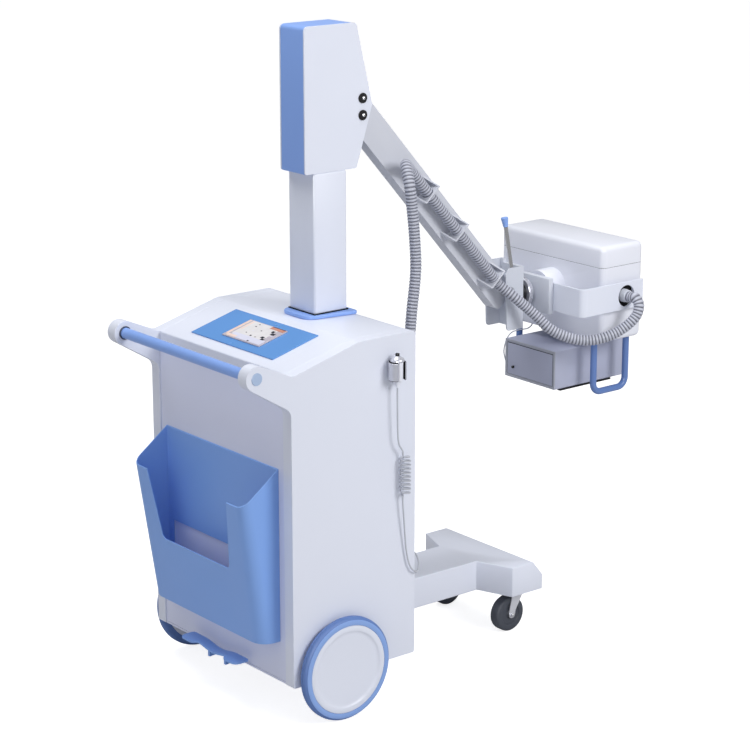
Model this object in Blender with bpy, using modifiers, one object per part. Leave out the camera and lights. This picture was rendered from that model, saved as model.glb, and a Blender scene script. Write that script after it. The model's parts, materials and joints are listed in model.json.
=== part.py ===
"""Mobile x-ray machine: cabinet on wheels, column, balanced arm, yoke, tube head and collimator.

Metres, +Z up. Sizes are measured in the machine frame, whose x runs forward from the
cabinet's rear face, y to the machine's left and z up from the floor. The whole machine
hangs under one empty that moves this frame so that the origin lies on the floor below
the middle of the machine.
"""
import math

import bmesh
import bpy
from mathutils import Euler, Matrix, Vector

GAP = 0.0003            # between two pieces that touch
MOVING_CLEARANCE = 0.0055

# Cabinet
CABINET_DEPTH = 0.400
CABINET_HALF = 0.312
CABINET_BOTTOM = 0.115
DECK_HEIGHT = 0.999
DECK_REAR_EDGE = 0.215
SLOPE_DROP = 0.056
SLOPE_INSET = 0.006
SIDE_THICKNESS = 0.035
SHEET = 0.006
REAR_PANEL_INSET = 0.004
DECK_THICKNESS = 0.030
CABINET_CORNER = 0.010
SLOPE_CORNER = 0.040
GENERATOR_MARGIN = 0.050
GENERATOR_HEIGHT = 0.411

# Push handle between the two side panels
HANDLE_REACH = 0.1035
HANDLE_DROP = 0.043
LOBE_RADIUS = 0.032
LOBE_ARM_DEPTH = 0.101      # from the handle's axis down to where the lobe's arm meets the panel
HANDLE_BAR_RADIUS = 0.0145
HANDLE_BAR_INSET = 0.002

# Console on the sloping deck
CONSOLE_LENGTH = 0.151
CONSOLE_WIDTH = 0.360
CONSOLE_THICKNESS = 0.003
CONSOLE_RISE = 0.004        # from the slope's middle up to the console's
SCREEN_LENGTH = 0.096
SCREEN_WIDTH = 0.162
SCREEN_THICKNESS = 0.003
SCREEN_SHIFT = -0.005

# Cassette bin on the rear panel
BIN_HALF = 0.251
BIN_SHEET = 0.003
BIN_BACK_TOP = 0.691
BIN_FRONT_TOP = 0.606
BIN_BOTTOM = 0.226
BIN_DEPTH_TOP = 0.110
BIN_DEPTH_BOTTOM = 0.056
BIN_CORNER_TOP = 0.029
BIN_CORNER_BOTTOM = 0.042
BIN_CUT_FLOOR = 0.416
BIN_CUT_CORNER = 0.014
BIN_CUT_HALF_TOP = 0.180
BIN_CUT_HALF_FLOOR = 0.151
BIN_WINDOW_HALF = 0.226
BIN_WINDOW_TOP = 0.429
BIN_WINDOW_FLOOR = 0.290

# Brake pedals under the rear edge
PEDAL_SPREAD = 0.1005
PEDAL_WIDTH = 0.054
PEDAL_LENGTH = 0.048
PEDAL_THICKNESS = 0.005
PEDAL_HEIGHT = 0.134
PEDAL_TIP = -0.055
PEDAL_CORNER = 0.018
TREADLE_DIP = 0.009
TREADLE_INSET = 0.016
PEDAL_EAR_DROP = 0.015
PEDAL_EAR_WIDTH = 0.008
PEDAL_EAR_END = 0.040

# Running gear
WHEEL_RADIUS = 0.140
WHEEL_X = 0.152
WHEEL_CLEARANCE = 0.006
WHEEL_WIDTH = 0.0260
HUB_CROWN = 0.002
HUB_FACE = 0.012
TYRE_SECTION = 0.021
AXLE_RADIUS = 0.012
LEG_HALF = 0.082
LEG_BOTTOM = 0.121
LEG_TOP = 0.209
LEG_REAR = 0.190
LEG_FLARE = 0.822
FOOT_HALF = 0.191
FOOT_REAR = 0.862
FOOT_TOP_FRONT = 0.942
FOOT_FRONT = 0.978
FOOT_CHAMFER_Z = 0.165
CASTER_X = 0.918
CASTER_Y = 0.134
CASTER_TRAIL = 0.024
CASTER_WHEEL_RADIUS = 0.051
CASTER_WHEEL_WIDTH = 0.034
CASTER_AXLE_RADIUS = 0.005
CASTER_FORK_THICKNESS = 0.003
CASTER_PLATE_RADIUS = 0.034
CASTER_PLATE_THICKNESS = 0.007

# Column and head
COLUMN_REAR = 0.271
COLUMN_FRONT = 0.379
COLUMN_HALF = 0.055
COLUMN_PLATE_THICKNESS = 0.010
COLUMN_PLATE_REAR = 0.243
COLUMN_PLATE_REAR_HALF = 0.060
COLUMN_PLATE_FRONT_HALF = 0.082
COLUMN_PLATE_CORNER = 0.034
COLUMN_PLATE_INSET = 0.004
HEAD_BOTTOM = 1.382
HEAD_TOP = 1.760
HEAD_REAR = 0.245
HEAD_FRONT = 0.413
HEAD_KNEE = (0.4655, 1.545)
HEAD_HALF = 0.053
HEAD_COVER = 0.008
HEAD_CHEEK = 0.0045         # white edge on each side of the cover
HEAD_LIP = 0.012            # white edge in front of the cover
HEAD_CORNER = 0.012
HEAD_SLOT_REAR = 0.384
HEAD_SLOT_FLOOR = 1.400
HEAD_SLOT_TOP = 1.655

# Balanced arm, from the head pin down to the knuckle pin
HEAD_PIN = (0.433, 1.5636)
PIN_DROP = 0.0443
PIN_RADIUS = 0.010
PIN_CAP_RADIUS = 0.0135
PIN_CAP_THICKNESS = 0.0025
ARM_LENGTH = 0.802
ARM_ANGLE = math.radians(-48.1)
ARM_HALF = 0.021
ARM_DEPTH = 0.086
ARM_HEAD_RADIUS = 0.026
ARM_TIP_RADIUS = 0.024
ARM_SHOULDER = 0.055
ARM_HEEL = 0.028            # how far the lower edge runs past the knuckle pin
ARM_HEEL_CORNER = 0.022

# Corrugated hose and its clips
HOSE_RADIUS = 0.0155
HOSE_OFFSET = 0.045
CLIP_THICKNESS = 0.004
CLIP_HEIGHT = 0.064
CLIP_REACH = 0.044
CLIP_WING = 0.032
CLIP_ROOT = 0.002
CLIP_BORE = (HOSE_RADIUS + GAP) / math.cos(math.pi / 24)
CLIP_PLACES = (0.364, 0.523, 0.725)      # distance along the arm from the head pin

# Knuckle at the end of the arm
CHEEK_INNER = 0.0405
CHEEK_THICKNESS = 0.0045
CHEEK_REAR = 0.951
CHEEK_FRONT = 1.018
CHEEK_BOTTOM = 0.854
CHEEK_TOP = 1.045
CHEEK_LEVER_TOP = 1.034     # the lower top of the cheek that carries the lever
CHEEK_SLANT = 0.007
KNUCKLE_WEB = 0.012
SPACER_RADIUS = 0.017
TURN_HEIGHT = 0.947
TURN_DISC_RADIUS = 0.043
TURN_DISC_FRONT = 1.060
TURN_NECK_RADIUS = 0.030
TURN_BEARING_RADIUS = 0.036
LEVER_X = 0.973
LEVER_LENGTH = 0.1155
LEVER_WIDTH = 0.013
LEVER_THICKNESS = 0.0045
LEVER_SEAT = 0.0012
LEVER_TILT = (math.radians(-9.1), math.radians(-3.5), 0)
GRIP_LENGTH = 0.028
GRIP_RADIUS = 0.0105
GRIP_NECK_RADIUS = 0.0066

# Yoke around the tube head
YOKE_PLATE_REAR = 1.0663
YOKE_PLATE_THICKNESS = 0.0164
YOKE_PLATE_HALF = 0.100
YOKE_PLATE_BOTTOM = 0.895
YOKE_PLATE_TOP = 0.999
STRAP_REAR = 1.083
STRAP_THICKNESS = 0.0045
STRAP_CLEARANCE = 0.0125    # between the tube housing's ends and the strap
STRAP_BOTTOM = 0.905
STRAP_TOP = 0.985
STRAP_FRONT = 1.322
STRAP_BEND = 0.018
STRAP_BORE = 0.031
TRUNNION = (1.2560, 0.944)

# Tube head
TUBE_REAR = 1.1745
TUBE_FRONT = 1.336
TUBE_RIGHT = 0.200
TUBE_LEFT = 0.222
TUBE_BOTTOM = 0.812
TUBE_SEAM = 1.030
TUBE_TOP = 1.091
TUBE_CORNER = 0.016
TUBE_BOSS_RADIUS = 0.053
TUBE_BOSS_REAR = 1.114
FITTING_RADIUS = 0.0215
FITTING_LENGTH = 0.0254
KNOB_RADIUS = 0.020
KNOB_NECK = 0.0185
KNOB_LENGTH = 0.030
GRAB_Y = 0.157
GRAB_REAR = 1.192
GRAB_FRONT = 1.319
GRAB_BOTTOM = 0.6575
GRAB_RADIUS = 0.0095
GRAB_BEND = 0.028

# Collimator
COLLIMATOR_REAR = 1.092
COLLIMATOR_FRONT = 1.376
COLLIMATOR_HALF = 0.105
COLLIMATOR_BOTTOM = 0.671
COLLIMATOR_TOP = 0.784
COLLIMATOR_FLANGE_RADIUS = 0.060
WINDOW_REAR_MARGIN = 0.024
WINDOW_FRONT_MARGIN = 0.060
WINDOW_SIDE_MARGIN = 0.012
WINDOW_THICKNESS = 0.006

# Hand switch on the right side, in a holder that is open to the right
HANDSET_X = 0.320
HANDSET_TOP = 0.957
HANDSET_BOTTOM = 0.866
HANDSET_RADIUS = 0.0200
HOLDER_TOP = 0.934
HOLDER_BOTTOM = 0.888
HOLDER_RADIUS = 0.0235
HOLDER_SLOT = 0.012
LEAD_RADIUS = 0.0026
CURL_RADIUS = 0.0130
CURL_PLACE = (0.357, -0.3268)
CURL_TOP = 0.674
CURL_BOTTOM = 0.570

SLOPE_FOOT = (SLOPE_INSET, DECK_HEIGHT - SLOPE_DROP)
HANDLE_AXIS = (-HANDLE_REACH, DECK_HEIGHT - HANDLE_DROP)
WHEEL_OUTER = CABINET_HALF + WHEEL_CLEARANCE + WHEEL_WIDTH + HUB_CROWN
STRAP_RIGHT = TUBE_RIGHT + STRAP_CLEARANCE + STRAP_THICKNESS
STRAP_LEFT = TUBE_LEFT + STRAP_CLEARANCE + STRAP_THICKNESS
FITTING_END = TUBE_RIGHT + GAP + FITTING_LENGTH
HANDSET_Y = -CABINET_HALF - GAP - HOLDER_RADIUS
CENTRE_X = (COLLIMATOR_FRONT + HANDLE_AXIS[0] - LOBE_RADIUS) / 2
CENTRE_Y = (WHEEL_OUTER + HANDSET_Y - math.sqrt(HOLDER_RADIUS ** 2 - (HOLDER_SLOT / 2) ** 2)) / 2

PARTS = "xray_machine"
CUTTERS = "cutters"
CUT_LENGTH = 0.200          # of a cutter that passes right through


def clear_scene():
    """Remove every object that is in the scene."""
    for obj in list(bpy.data.objects):
        bpy.data.objects.remove(obj, do_unlink=True)


def collection(name):
    """The collection of that name, made on its first use."""
    made = bpy.data.collections.get(name) or bpy.data.collections.new(name)
    if name not in bpy.context.scene.collection.children:
        bpy.context.scene.collection.children.link(made)
    return made


def material(name, colour, roughness, metallic=0.0):
    """The material of that name, made on its first use."""
    made = bpy.data.materials.get(name) or bpy.data.materials.new(name)
    made.use_nodes = True
    shader = made.node_tree.nodes["Principled BSDF"]
    shader.inputs["Base Color"].default_value = (*colour, 1.0)
    shader.inputs["Roughness"].default_value = roughness
    shader.inputs["Metallic"].default_value = metallic
    return made


FINISHES = {
    # name: (colour, roughness, metallic)
    "white_paint": ((0.80, 0.82, 0.88), 0.35, 0.0),
    "grey_paint": ((0.42, 0.43, 0.50), 0.45, 0.0),
    "light_grey": ((0.55, 0.57, 0.62), 0.40, 0.0),
    "blue_paint": ((0.16, 0.33, 0.68), 0.40, 0.0),
    "blue_plastic": ((0.20, 0.42, 0.80), 0.35, 0.0),
    "dark_blue": ((0.08, 0.16, 0.40), 0.45, 0.0),
    "black_plastic": ((0.03, 0.03, 0.035), 0.45, 0.0),
    "rubber": ((0.08, 0.085, 0.10), 0.70, 0.0),
    "steel": ((0.60, 0.61, 0.63), 0.30, 1.0),
    "chrome": ((0.80, 0.80, 0.82), 0.10, 1.0),
    "hose_grey": ((0.38, 0.39, 0.43), 0.50, 0.0),
    "screen": ((0.75, 0.72, 0.70), 0.15, 0.0),
}

FRAMES = {}


def empty(name, place, parent=None):
    """An empty at a point of the machine frame, which carries the pieces of one body."""
    made = bpy.data.objects.new(name, None)
    collection(PARTS).objects.link(made)
    origin = Vector(place)
    if parent is None:
        made.location = origin - Vector((CENTRE_X, CENTRE_Y, 0))
    else:
        made.parent = FRAMES[parent][0]
        made.location = origin - FRAMES[parent][1]
    FRAMES[name] = (made, origin)
    return made


def adopt(obj, body, finish, place=(0, 0, 0)):
    """Puts a piece at a point of the machine frame, on a body, with a finish."""
    parent, origin = FRAMES[body]
    obj.parent = parent
    obj.location = Vector(place) - origin
    if finish:
        colour, roughness, metallic = FINISHES[finish]
        obj.data.materials.clear()
        obj.data.materials.append(material(finish, colour, roughness, metallic))
    return obj


def object_from(bm, name, group=PARTS):
    """A new object that holds the mesh."""
    mesh = bpy.data.meshes.new(name)
    bm.to_mesh(mesh)
    bm.free()
    made = bpy.data.objects.new(name, mesh)
    collection(group).objects.link(made)
    return made


def smooth(obj, angle=35):
    """Shade an object smooth where its faces meet at a small angle."""
    obj.data.shade_smooth()
    obj.data.set_sharp_from_angle(angle=math.radians(angle))
    return obj


def block(name, low, high, body, finish, round_edges=0.0, segments=2, group=PARTS):
    """A box between two corners of the machine frame, its edges rounded by a bevel."""
    low, high = Vector(low), Vector(high)
    size, centre = high - low, (low + high) / 2
    bm = bmesh.new()
    bmesh.ops.create_cube(bm, size=1, matrix=Matrix.Diagonal((*size, 1)))
    made = adopt(object_from(bm, name, group), body, finish, centre)
    if round_edges:
        soften(made, round_edges, segments)
    return made


def soften(obj, width, segments=2, angle=30):
    """Round the edges of an object that are sharper than its curves."""
    bevel = obj.modifiers.new("edges", "BEVEL")
    bevel.width = width
    bevel.segments = segments
    bevel.limit_method = "ANGLE"
    bevel.angle_limit = math.radians(angle)
    return obj


AXES = {"X": Matrix.Rotation(math.pi / 2, 4, "Y"), "Y": Matrix.Rotation(-math.pi / 2, 4, "X"),
        "Z": Matrix.Identity(4)}


def rod(name, radius, start, length, axis, body, finish, sides=24, group=PARTS):
    """A cylinder from a start point along +X, +Y or +Z."""
    bm = bmesh.new()
    turn = AXES[axis]
    lift = Matrix.Translation((0, 0, length / 2))
    bmesh.ops.create_cone(bm, cap_ends=True, segments=sides, radius1=radius, radius2=radius,
                          depth=length, matrix=turn @ lift)
    return smooth(adopt(object_from(bm, name, group), body, finish, start))


def turned(name, profile, axis, place, body, finish, steps=32, group=PARTS):
    """A turned shape: profile points (radius, height) from the top down its outer side."""
    bm = bmesh.new()
    verts = [bm.verts.new((radius, 0, height)) for radius, height in profile]
    for first, second in zip(verts, verts[1:]):
        bm.edges.new((first, second))
    made = object_from(bm, name, group)
    screw = made.modifiers.new("turn", "SCREW")
    screw.steps = steps
    screw.render_steps = steps
    screw.use_merge_vertices = True
    screw.merge_threshold = 0.00001
    screw.use_normal_calculate = False
    adopt(made, body, finish, place)
    if axis == "Y":
        made.rotation_euler = (-math.pi / 2, 0, 0)
    elif axis == "X":
        made.rotation_euler = (0, math.pi / 2, 0)
    elif axis == "-Y":
        made.rotation_euler = (math.pi / 2, 0, 0)
    return made


def arc(centre, radius, start, end, steps):
    """Points on an arc in a plane, angles in degrees."""
    return [(centre[0] + radius * math.cos(math.radians(start + (end - start) * i / steps)),
             centre[1] + radius * math.sin(math.radians(start + (end - start) * i / steps)))
            for i in range(steps + 1)]


def bearing(spoke):
    """The angle of a point as seen from a centre, in degrees."""
    return math.atan2(spoke[1], spoke[0])


def rounded(corners, steps=4):
    """A closed outline from corners (u, v, fillet radius)."""
    points = []
    count = len(corners)
    for i, (u, v, radius) in enumerate(corners):
        here = Vector((u, v))
        if radius <= 0:
            points.append((u, v))
            continue
        before = Vector(corners[i - 1][:2]) - here
        after = Vector(corners[(i + 1) % count][:2]) - here
        half = before.angle(after) / 2
        reach = radius / math.tan(half)
        centre = here + (before.normalized() + after.normalized()).normalized() * radius / math.sin(half)
        start = bearing(here + before.normalized() * reach - centre)
        sweep = bearing(here + after.normalized() * reach - centre) - start
        sweep = (sweep + math.pi) % (2 * math.pi) - math.pi
        for step in range(steps + 1):
            turn = start + sweep * step / steps
            points.append((centre.x + radius * math.cos(turn), centre.y + radius * math.sin(turn)))
    return points


def tangent(point, centre, radius, side):
    """The bearing in degrees, from a circle's centre, of where a line from a point touches it."""
    away = Vector(point) - Vector(centre)
    return math.degrees(bearing(away) + side * math.acos(radius / away.length))


PLANES = {"XZ": (math.pi / 2, 0, 0), "XY": (0, 0, 0), "YZ": (math.pi / 2, 0, math.pi / 2)}


def sheet(name, points, thickness, plane, place, body, finish, group=PARTS):
    """A flat outline with a thickness: a filled 2D curve in the XZ, XY or YZ plane."""
    curve = bpy.data.curves.new(name, "CURVE")
    curve.dimensions = "2D"
    curve.fill_mode = "BOTH"
    curve.extrude = thickness / 2
    spline = curve.splines.new("POLY")
    spline.points.add(len(points) - 1)
    for slot, (u, v) in zip(spline.points, points):
        slot.co = (u, v, 0, 1)
    spline.use_cyclic_u = True
    made = bpy.data.objects.new(name, curve)
    collection(group).objects.link(made)
    adopt(made, body, finish, place)
    made.rotation_euler = PLANES[plane]
    return made


def as_mesh(obj):
    """The same piece as a welded mesh, so that it can be cut or joined."""
    bpy.context.view_layer.update()
    evaluated = obj.evaluated_get(bpy.context.evaluated_depsgraph_get())
    mesh = bpy.data.meshes.new_from_object(evaluated)
    bm = bmesh.new()
    bm.from_mesh(mesh)
    bmesh.ops.remove_doubles(bm, verts=bm.verts, dist=0.00002)
    bm.to_mesh(mesh)
    bm.free()
    made = bpy.data.objects.new(obj.name, mesh)
    for group in obj.users_collection:
        group.objects.link(made)
    made.parent = obj.parent
    made.matrix_world = obj.matrix_world
    name = obj.name
    bpy.data.objects.remove(obj, do_unlink=True)
    made.name = name
    return made


def solid_sheet(*args, **options):
    """An outline with a thickness, made a mesh of its own at once."""
    return as_mesh(sheet(*args, **options))


def combine(target, tool, operation):
    """Cuts the tool out of the target, or joins it on."""
    change = target.modifiers.new(tool.name, "BOOLEAN")
    change.operation = operation
    change.solver = "EXACT"
    change.object = tool
    tool.hide_render = True
    tool.display_type = "WIRE"
    return target


def cut(target, *tools):
    """Take the cutters away from a piece."""
    for tool in tools:
        combine(target, tool, "DIFFERENCE")
    return target


def fuse(target, *tools):
    """Join pieces to a first one."""
    for tool in tools:
        combine(target, tool, "UNION")
    return target


def smooth_route(points, spacing):
    """Points read at even steps from a smooth curve through the given points."""
    route = [Vector(p) for p in points]
    ends = [route[0] * 2 - route[1], *route, route[-1] * 2 - route[-2]]
    fine = []
    for a, b, c, d in zip(ends, ends[1:], ends[2:], ends[3:]):
        for i in range(24):
            t = i / 24
            fine.append(0.5 * ((2 * b) + (c - a) * t + (2 * a - 5 * b + 4 * c - d) * t * t
                               + (3 * b - a - 3 * c + d) * t ** 3))
    fine.append(route[-1])
    length = sum((q - p).length for p, q in zip(fine, fine[1:]))
    count = max(2, round(length / spacing))
    even, walked, target = [fine[0]], 0.0, length / count
    for p, q in zip(fine, fine[1:]):
        step = (q - p).length
        while walked + step >= target * len(even) and len(even) < count:
            even.append(p + (q - p) * ((target * len(even) - walked) / step))
        walked += step
    return [*even, fine[-1]]


def tube(name, points, radius, body, finish, resolution=2, group=PARTS):
    """A round tube along points of the machine frame, its ends closed."""
    curve = bpy.data.curves.new(name, "CURVE")
    curve.dimensions = "3D"
    curve.bevel_depth = radius
    curve.bevel_resolution = resolution
    curve.use_fill_caps = True
    spline = curve.splines.new("POLY")
    spline.points.add(len(points) - 1)
    origin = FRAMES[body][1]
    for slot, point in zip(spline.points, points):
        slot.co = (*(Vector(point) - origin), 1)
    made = bpy.data.objects.new(name, curve)
    collection(group).objects.link(made)
    return adopt(made, body, finish, origin)


def trim(obj, body, point, normal):
    """Cuts a mesh piece off flat beyond a plane, and closes the cut."""
    origin = FRAMES[body][1]
    bm = bmesh.new()
    bm.from_mesh(obj.data)
    bmesh.ops.remove_doubles(bm, verts=bm.verts, dist=0.00002)
    whole = [*bm.verts, *bm.edges, *bm.faces]
    done = bmesh.ops.bisect_plane(bm, geom=whole, plane_co=Vector(point) - origin, plane_no=normal,
                                  clear_outer=True)
    edges = [e for e in done["geom_cut"] if isinstance(e, bmesh.types.BMEdge)]
    bmesh.ops.contextual_create(bm, geom=edges)
    bmesh.ops.recalc_face_normals(bm, faces=bm.faces)
    bm.to_mesh(obj.data)
    bm.free()
    return obj


def arm_point(along, across):
    """A point (x, z) of the machine frame from distances along and across the arm."""
    u = (math.cos(ARM_ANGLE), math.sin(ARM_ANGLE))
    return (HEAD_PIN[0] + along * u[0] - across * u[1], HEAD_PIN[1] + along * u[1] + across * u[0])


ARM_TOP = (ARM_DEPTH - PIN_DROP * math.cos(ARM_ANGLE)) / 2
ARM_BELOW = ARM_TOP - ARM_DEPTH
ARM_MIDDLE = (ARM_TOP + ARM_BELOW) / 2
KNUCKLE_PIN = arm_point(ARM_LENGTH, 0)

BODIES = [
    # name, parent, point on its joint axis
    ("machine", None, (0, 0, 0)),
    ("wheel_left", "machine", (WHEEL_X, WHEEL_OUTER, WHEEL_RADIUS)),
    ("wheel_right", "machine", (WHEEL_X, -WHEEL_OUTER, WHEEL_RADIUS)),
    ("caster_left", "machine", (CASTER_X, CASTER_Y, LEG_BOTTOM)),
    ("caster_right", "machine", (CASTER_X, -CASTER_Y, LEG_BOTTOM)),
    ("caster_wheel_left", "caster_left", (CASTER_X - CASTER_TRAIL, CASTER_Y, CASTER_WHEEL_RADIUS)),
    ("caster_wheel_right", "caster_right", (CASTER_X - CASTER_TRAIL, -CASTER_Y, CASTER_WHEEL_RADIUS)),
    ("arm", "machine", (HEAD_PIN[0], 0, HEAD_PIN[1])),
    ("knuckle", "arm", (KNUCKLE_PIN[0], 0, KNUCKLE_PIN[1])),
    ("yoke", "knuckle", (TURN_DISC_FRONT, 0, TURN_HEIGHT)),
    ("tube", "yoke", (TRUNNION[0], 0, TRUNNION[1])),
]

SIDES = [("left", 1), ("right", -1)]


def side_panels():
    """The thick side panels, each with a lobe that holds the handle and a bore for the axle."""
    first = tangent(SLOPE_FOOT, HANDLE_AXIS, LOBE_RADIUS, 1)
    arm_foot = (0, HANDLE_AXIS[1] - LOBE_ARM_DEPTH)
    last = tangent(arm_foot, HANDLE_AXIS, LOBE_RADIUS, -1)
    lobe = arc(HANDLE_AXIS, LOBE_RADIUS, first, first + (last - first) % 360, 14)
    outline = [
        *[(u, v, 0) for u, v in lobe],
        (*arm_foot, 0.030),
        (0, CABINET_BOTTOM, 0.004),
        (CABINET_DEPTH, CABINET_BOTTOM, 0.006),
        (CABINET_DEPTH, DECK_HEIGHT, CABINET_CORNER),
        (DECK_REAR_EDGE, DECK_HEIGHT, SLOPE_CORNER),
        (*SLOPE_FOOT, 0.030),
    ]
    points = rounded(outline)
    for name, side in SIDES:
        middle = side * (CABINET_HALF - SIDE_THICKNESS / 2)
        panel = solid_sheet(f"side_panel_{name}", points, SIDE_THICKNESS, "XZ", (0, middle, 0),
                            "machine", "white_paint")
        start = side * CABINET_HALF - CUT_LENGTH / 2
        bore = rod(f"handle_bore_{name}", HANDLE_BAR_RADIUS + GAP, (HANDLE_AXIS[0], start, HANDLE_AXIS[1]),
                   CUT_LENGTH, "Y", "machine", None, 24, CUTTERS)
        axle_bore = rod(f"axle_bore_{name}", AXLE_RADIUS + GAP, (WHEEL_X, start, WHEEL_RADIUS),
                        CUT_LENGTH, "Y", "machine", None, 24, CUTTERS)
        cut(panel, bore, axle_bore)


def handle_bar():
    """The bar between the two lobes."""
    length = 2 * (CABINET_HALF - HANDLE_BAR_INSET)
    rod("handle_bar", HANDLE_BAR_RADIUS, (HANDLE_AXIS[0], -length / 2, HANDLE_AXIS[1]), length, "Y",
        "machine", "blue_plastic", 24)


INNER_HALF = CABINET_HALF - SIDE_THICKNESS - GAP


def top_deck():
    """The bent sheet on top: level in front, sloped at the rear."""
    foot_x, foot_z = SLOPE_FOOT
    outline = [
        (foot_x, foot_z - DECK_THICKNESS, 0),
        (foot_x, foot_z, 0.004),
        (DECK_REAR_EDGE, DECK_HEIGHT, SLOPE_CORNER),
        (CABINET_DEPTH, DECK_HEIGHT, CABINET_CORNER),
        (CABINET_DEPTH, DECK_HEIGHT - DECK_THICKNESS, 0),
        (DECK_REAR_EDGE, DECK_HEIGHT - DECK_THICKNESS, SLOPE_CORNER),
    ]
    sheet("top_deck", rounded(outline[::-1]), 2 * INNER_HALF, "XZ", (0, 0, 0), "machine", "white_paint")


def cabinet_panels():
    """Front and rear sheets, the tray below and the generator inside."""
    deck_low = SLOPE_FOOT[1] - DECK_THICKNESS - GAP
    block("rear_panel", (REAR_PANEL_INSET, -INNER_HALF, CABINET_BOTTOM + SHEET + GAP),
          (REAR_PANEL_INSET + SHEET, INNER_HALF, deck_low), "machine", "grey_paint")
    front = block("front_panel", (CABINET_DEPTH - SHEET, -INNER_HALF, CABINET_BOTTOM + SHEET + GAP),
                  (CABINET_DEPTH, INNER_HALF, DECK_HEIGHT - DECK_THICKNESS - GAP), "machine", "white_paint")
    beyond = CUT_LENGTH / 2
    notch = block("leg_notch", (CABINET_DEPTH - beyond, -LEG_HALF - GAP, CABINET_BOTTOM - beyond),
                  (CABINET_DEPTH + beyond, LEG_HALF + GAP, LEG_TOP + GAP), "machine", None, group=CUTTERS)
    cut(front, notch)
    block("base_tray", (REAR_PANEL_INSET, -INNER_HALF, CABINET_BOTTOM),
          (CABINET_DEPTH, INNER_HALF, CABINET_BOTTOM + SHEET - GAP), "machine", "grey_paint")
    side = INNER_HALF - GENERATOR_MARGIN
    block("generator", (REAR_PANEL_INSET + SHEET + GENERATOR_MARGIN, -side, LEG_TOP + GAP),
          (CABINET_DEPTH - SHEET - GENERATOR_MARGIN, side, LEG_TOP + GAP + GENERATOR_HEIGHT), "machine", "grey_paint")


def console():
    """The printed panel on the slope, with the touch screen on it."""
    rise = math.atan2(DECK_HEIGHT - SLOPE_FOOT[1], DECK_REAR_EDGE - SLOPE_FOOT[0])
    along = Vector((math.cos(rise), 0, math.sin(rise)))
    out = Vector((-math.sin(rise), 0, math.cos(rise)))
    slope_middle = Vector(((SLOPE_FOOT[0] + DECK_REAR_EDGE) / 2, 0, (SLOPE_FOOT[1] + DECK_HEIGHT) / 2))
    middle = slope_middle + along * CONSOLE_RISE
    plate = block("console_panel", (-CONSOLE_LENGTH / 2, -CONSOLE_WIDTH / 2, 0),
                  (CONSOLE_LENGTH / 2, CONSOLE_WIDTH / 2, CONSOLE_THICKNESS), "machine", "blue_paint")
    screen = block("touch_screen", (-SCREEN_LENGTH / 2, -SCREEN_WIDTH / 2, 0),
                   (SCREEN_LENGTH / 2, SCREEN_WIDTH / 2, SCREEN_THICKNESS), "machine", "screen")
    plate.location = middle + out * (GAP + CONSOLE_THICKNESS / 2)
    screen.location = middle + out * (2 * GAP + CONSOLE_THICKNESS + SCREEN_THICKNESS / 2)
    screen.location.y = SCREEN_SHIFT
    for piece in (plate, screen):
        piece.rotation_euler = (0, -rise, 0)


def bin_shell(name, inset, low, high, group):
    """A tapering box with round front corners, set in from the bin's outside, between two heights."""
    bm = bmesh.new()
    loops = []
    for z in (low, high):
        share = (z - BIN_BOTTOM) / (BIN_FRONT_TOP - BIN_BOTTOM)
        front = inset - BIN_DEPTH_BOTTOM - (BIN_DEPTH_TOP - BIN_DEPTH_BOTTOM) * share
        radius = BIN_CORNER_BOTTOM + (BIN_CORNER_TOP - BIN_CORNER_BOTTOM) * share - inset
        back, half = REAR_PANEL_INSET - GAP - inset, BIN_HALF - inset
        plan = rounded([(back, -half, 0), (back, half, 0), (front, half, radius), (front, -half, radius)], 6)
        verts = [bm.verts.new((x, y, z)) for x, y in plan]
        loops += [bm.edges.new(pair) for pair in zip(verts, verts[1:] + verts[:1])]
    bmesh.ops.bridge_loops(bm, edges=loops)
    bmesh.ops.holes_fill(bm, edges=bm.edges, sides=0)
    bmesh.ops.triangulate(bm, faces=bm.faces)
    bmesh.ops.recalc_face_normals(bm, faces=bm.faces)
    return adopt(object_from(bm, name, group), "machine", "blue_paint")


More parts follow.
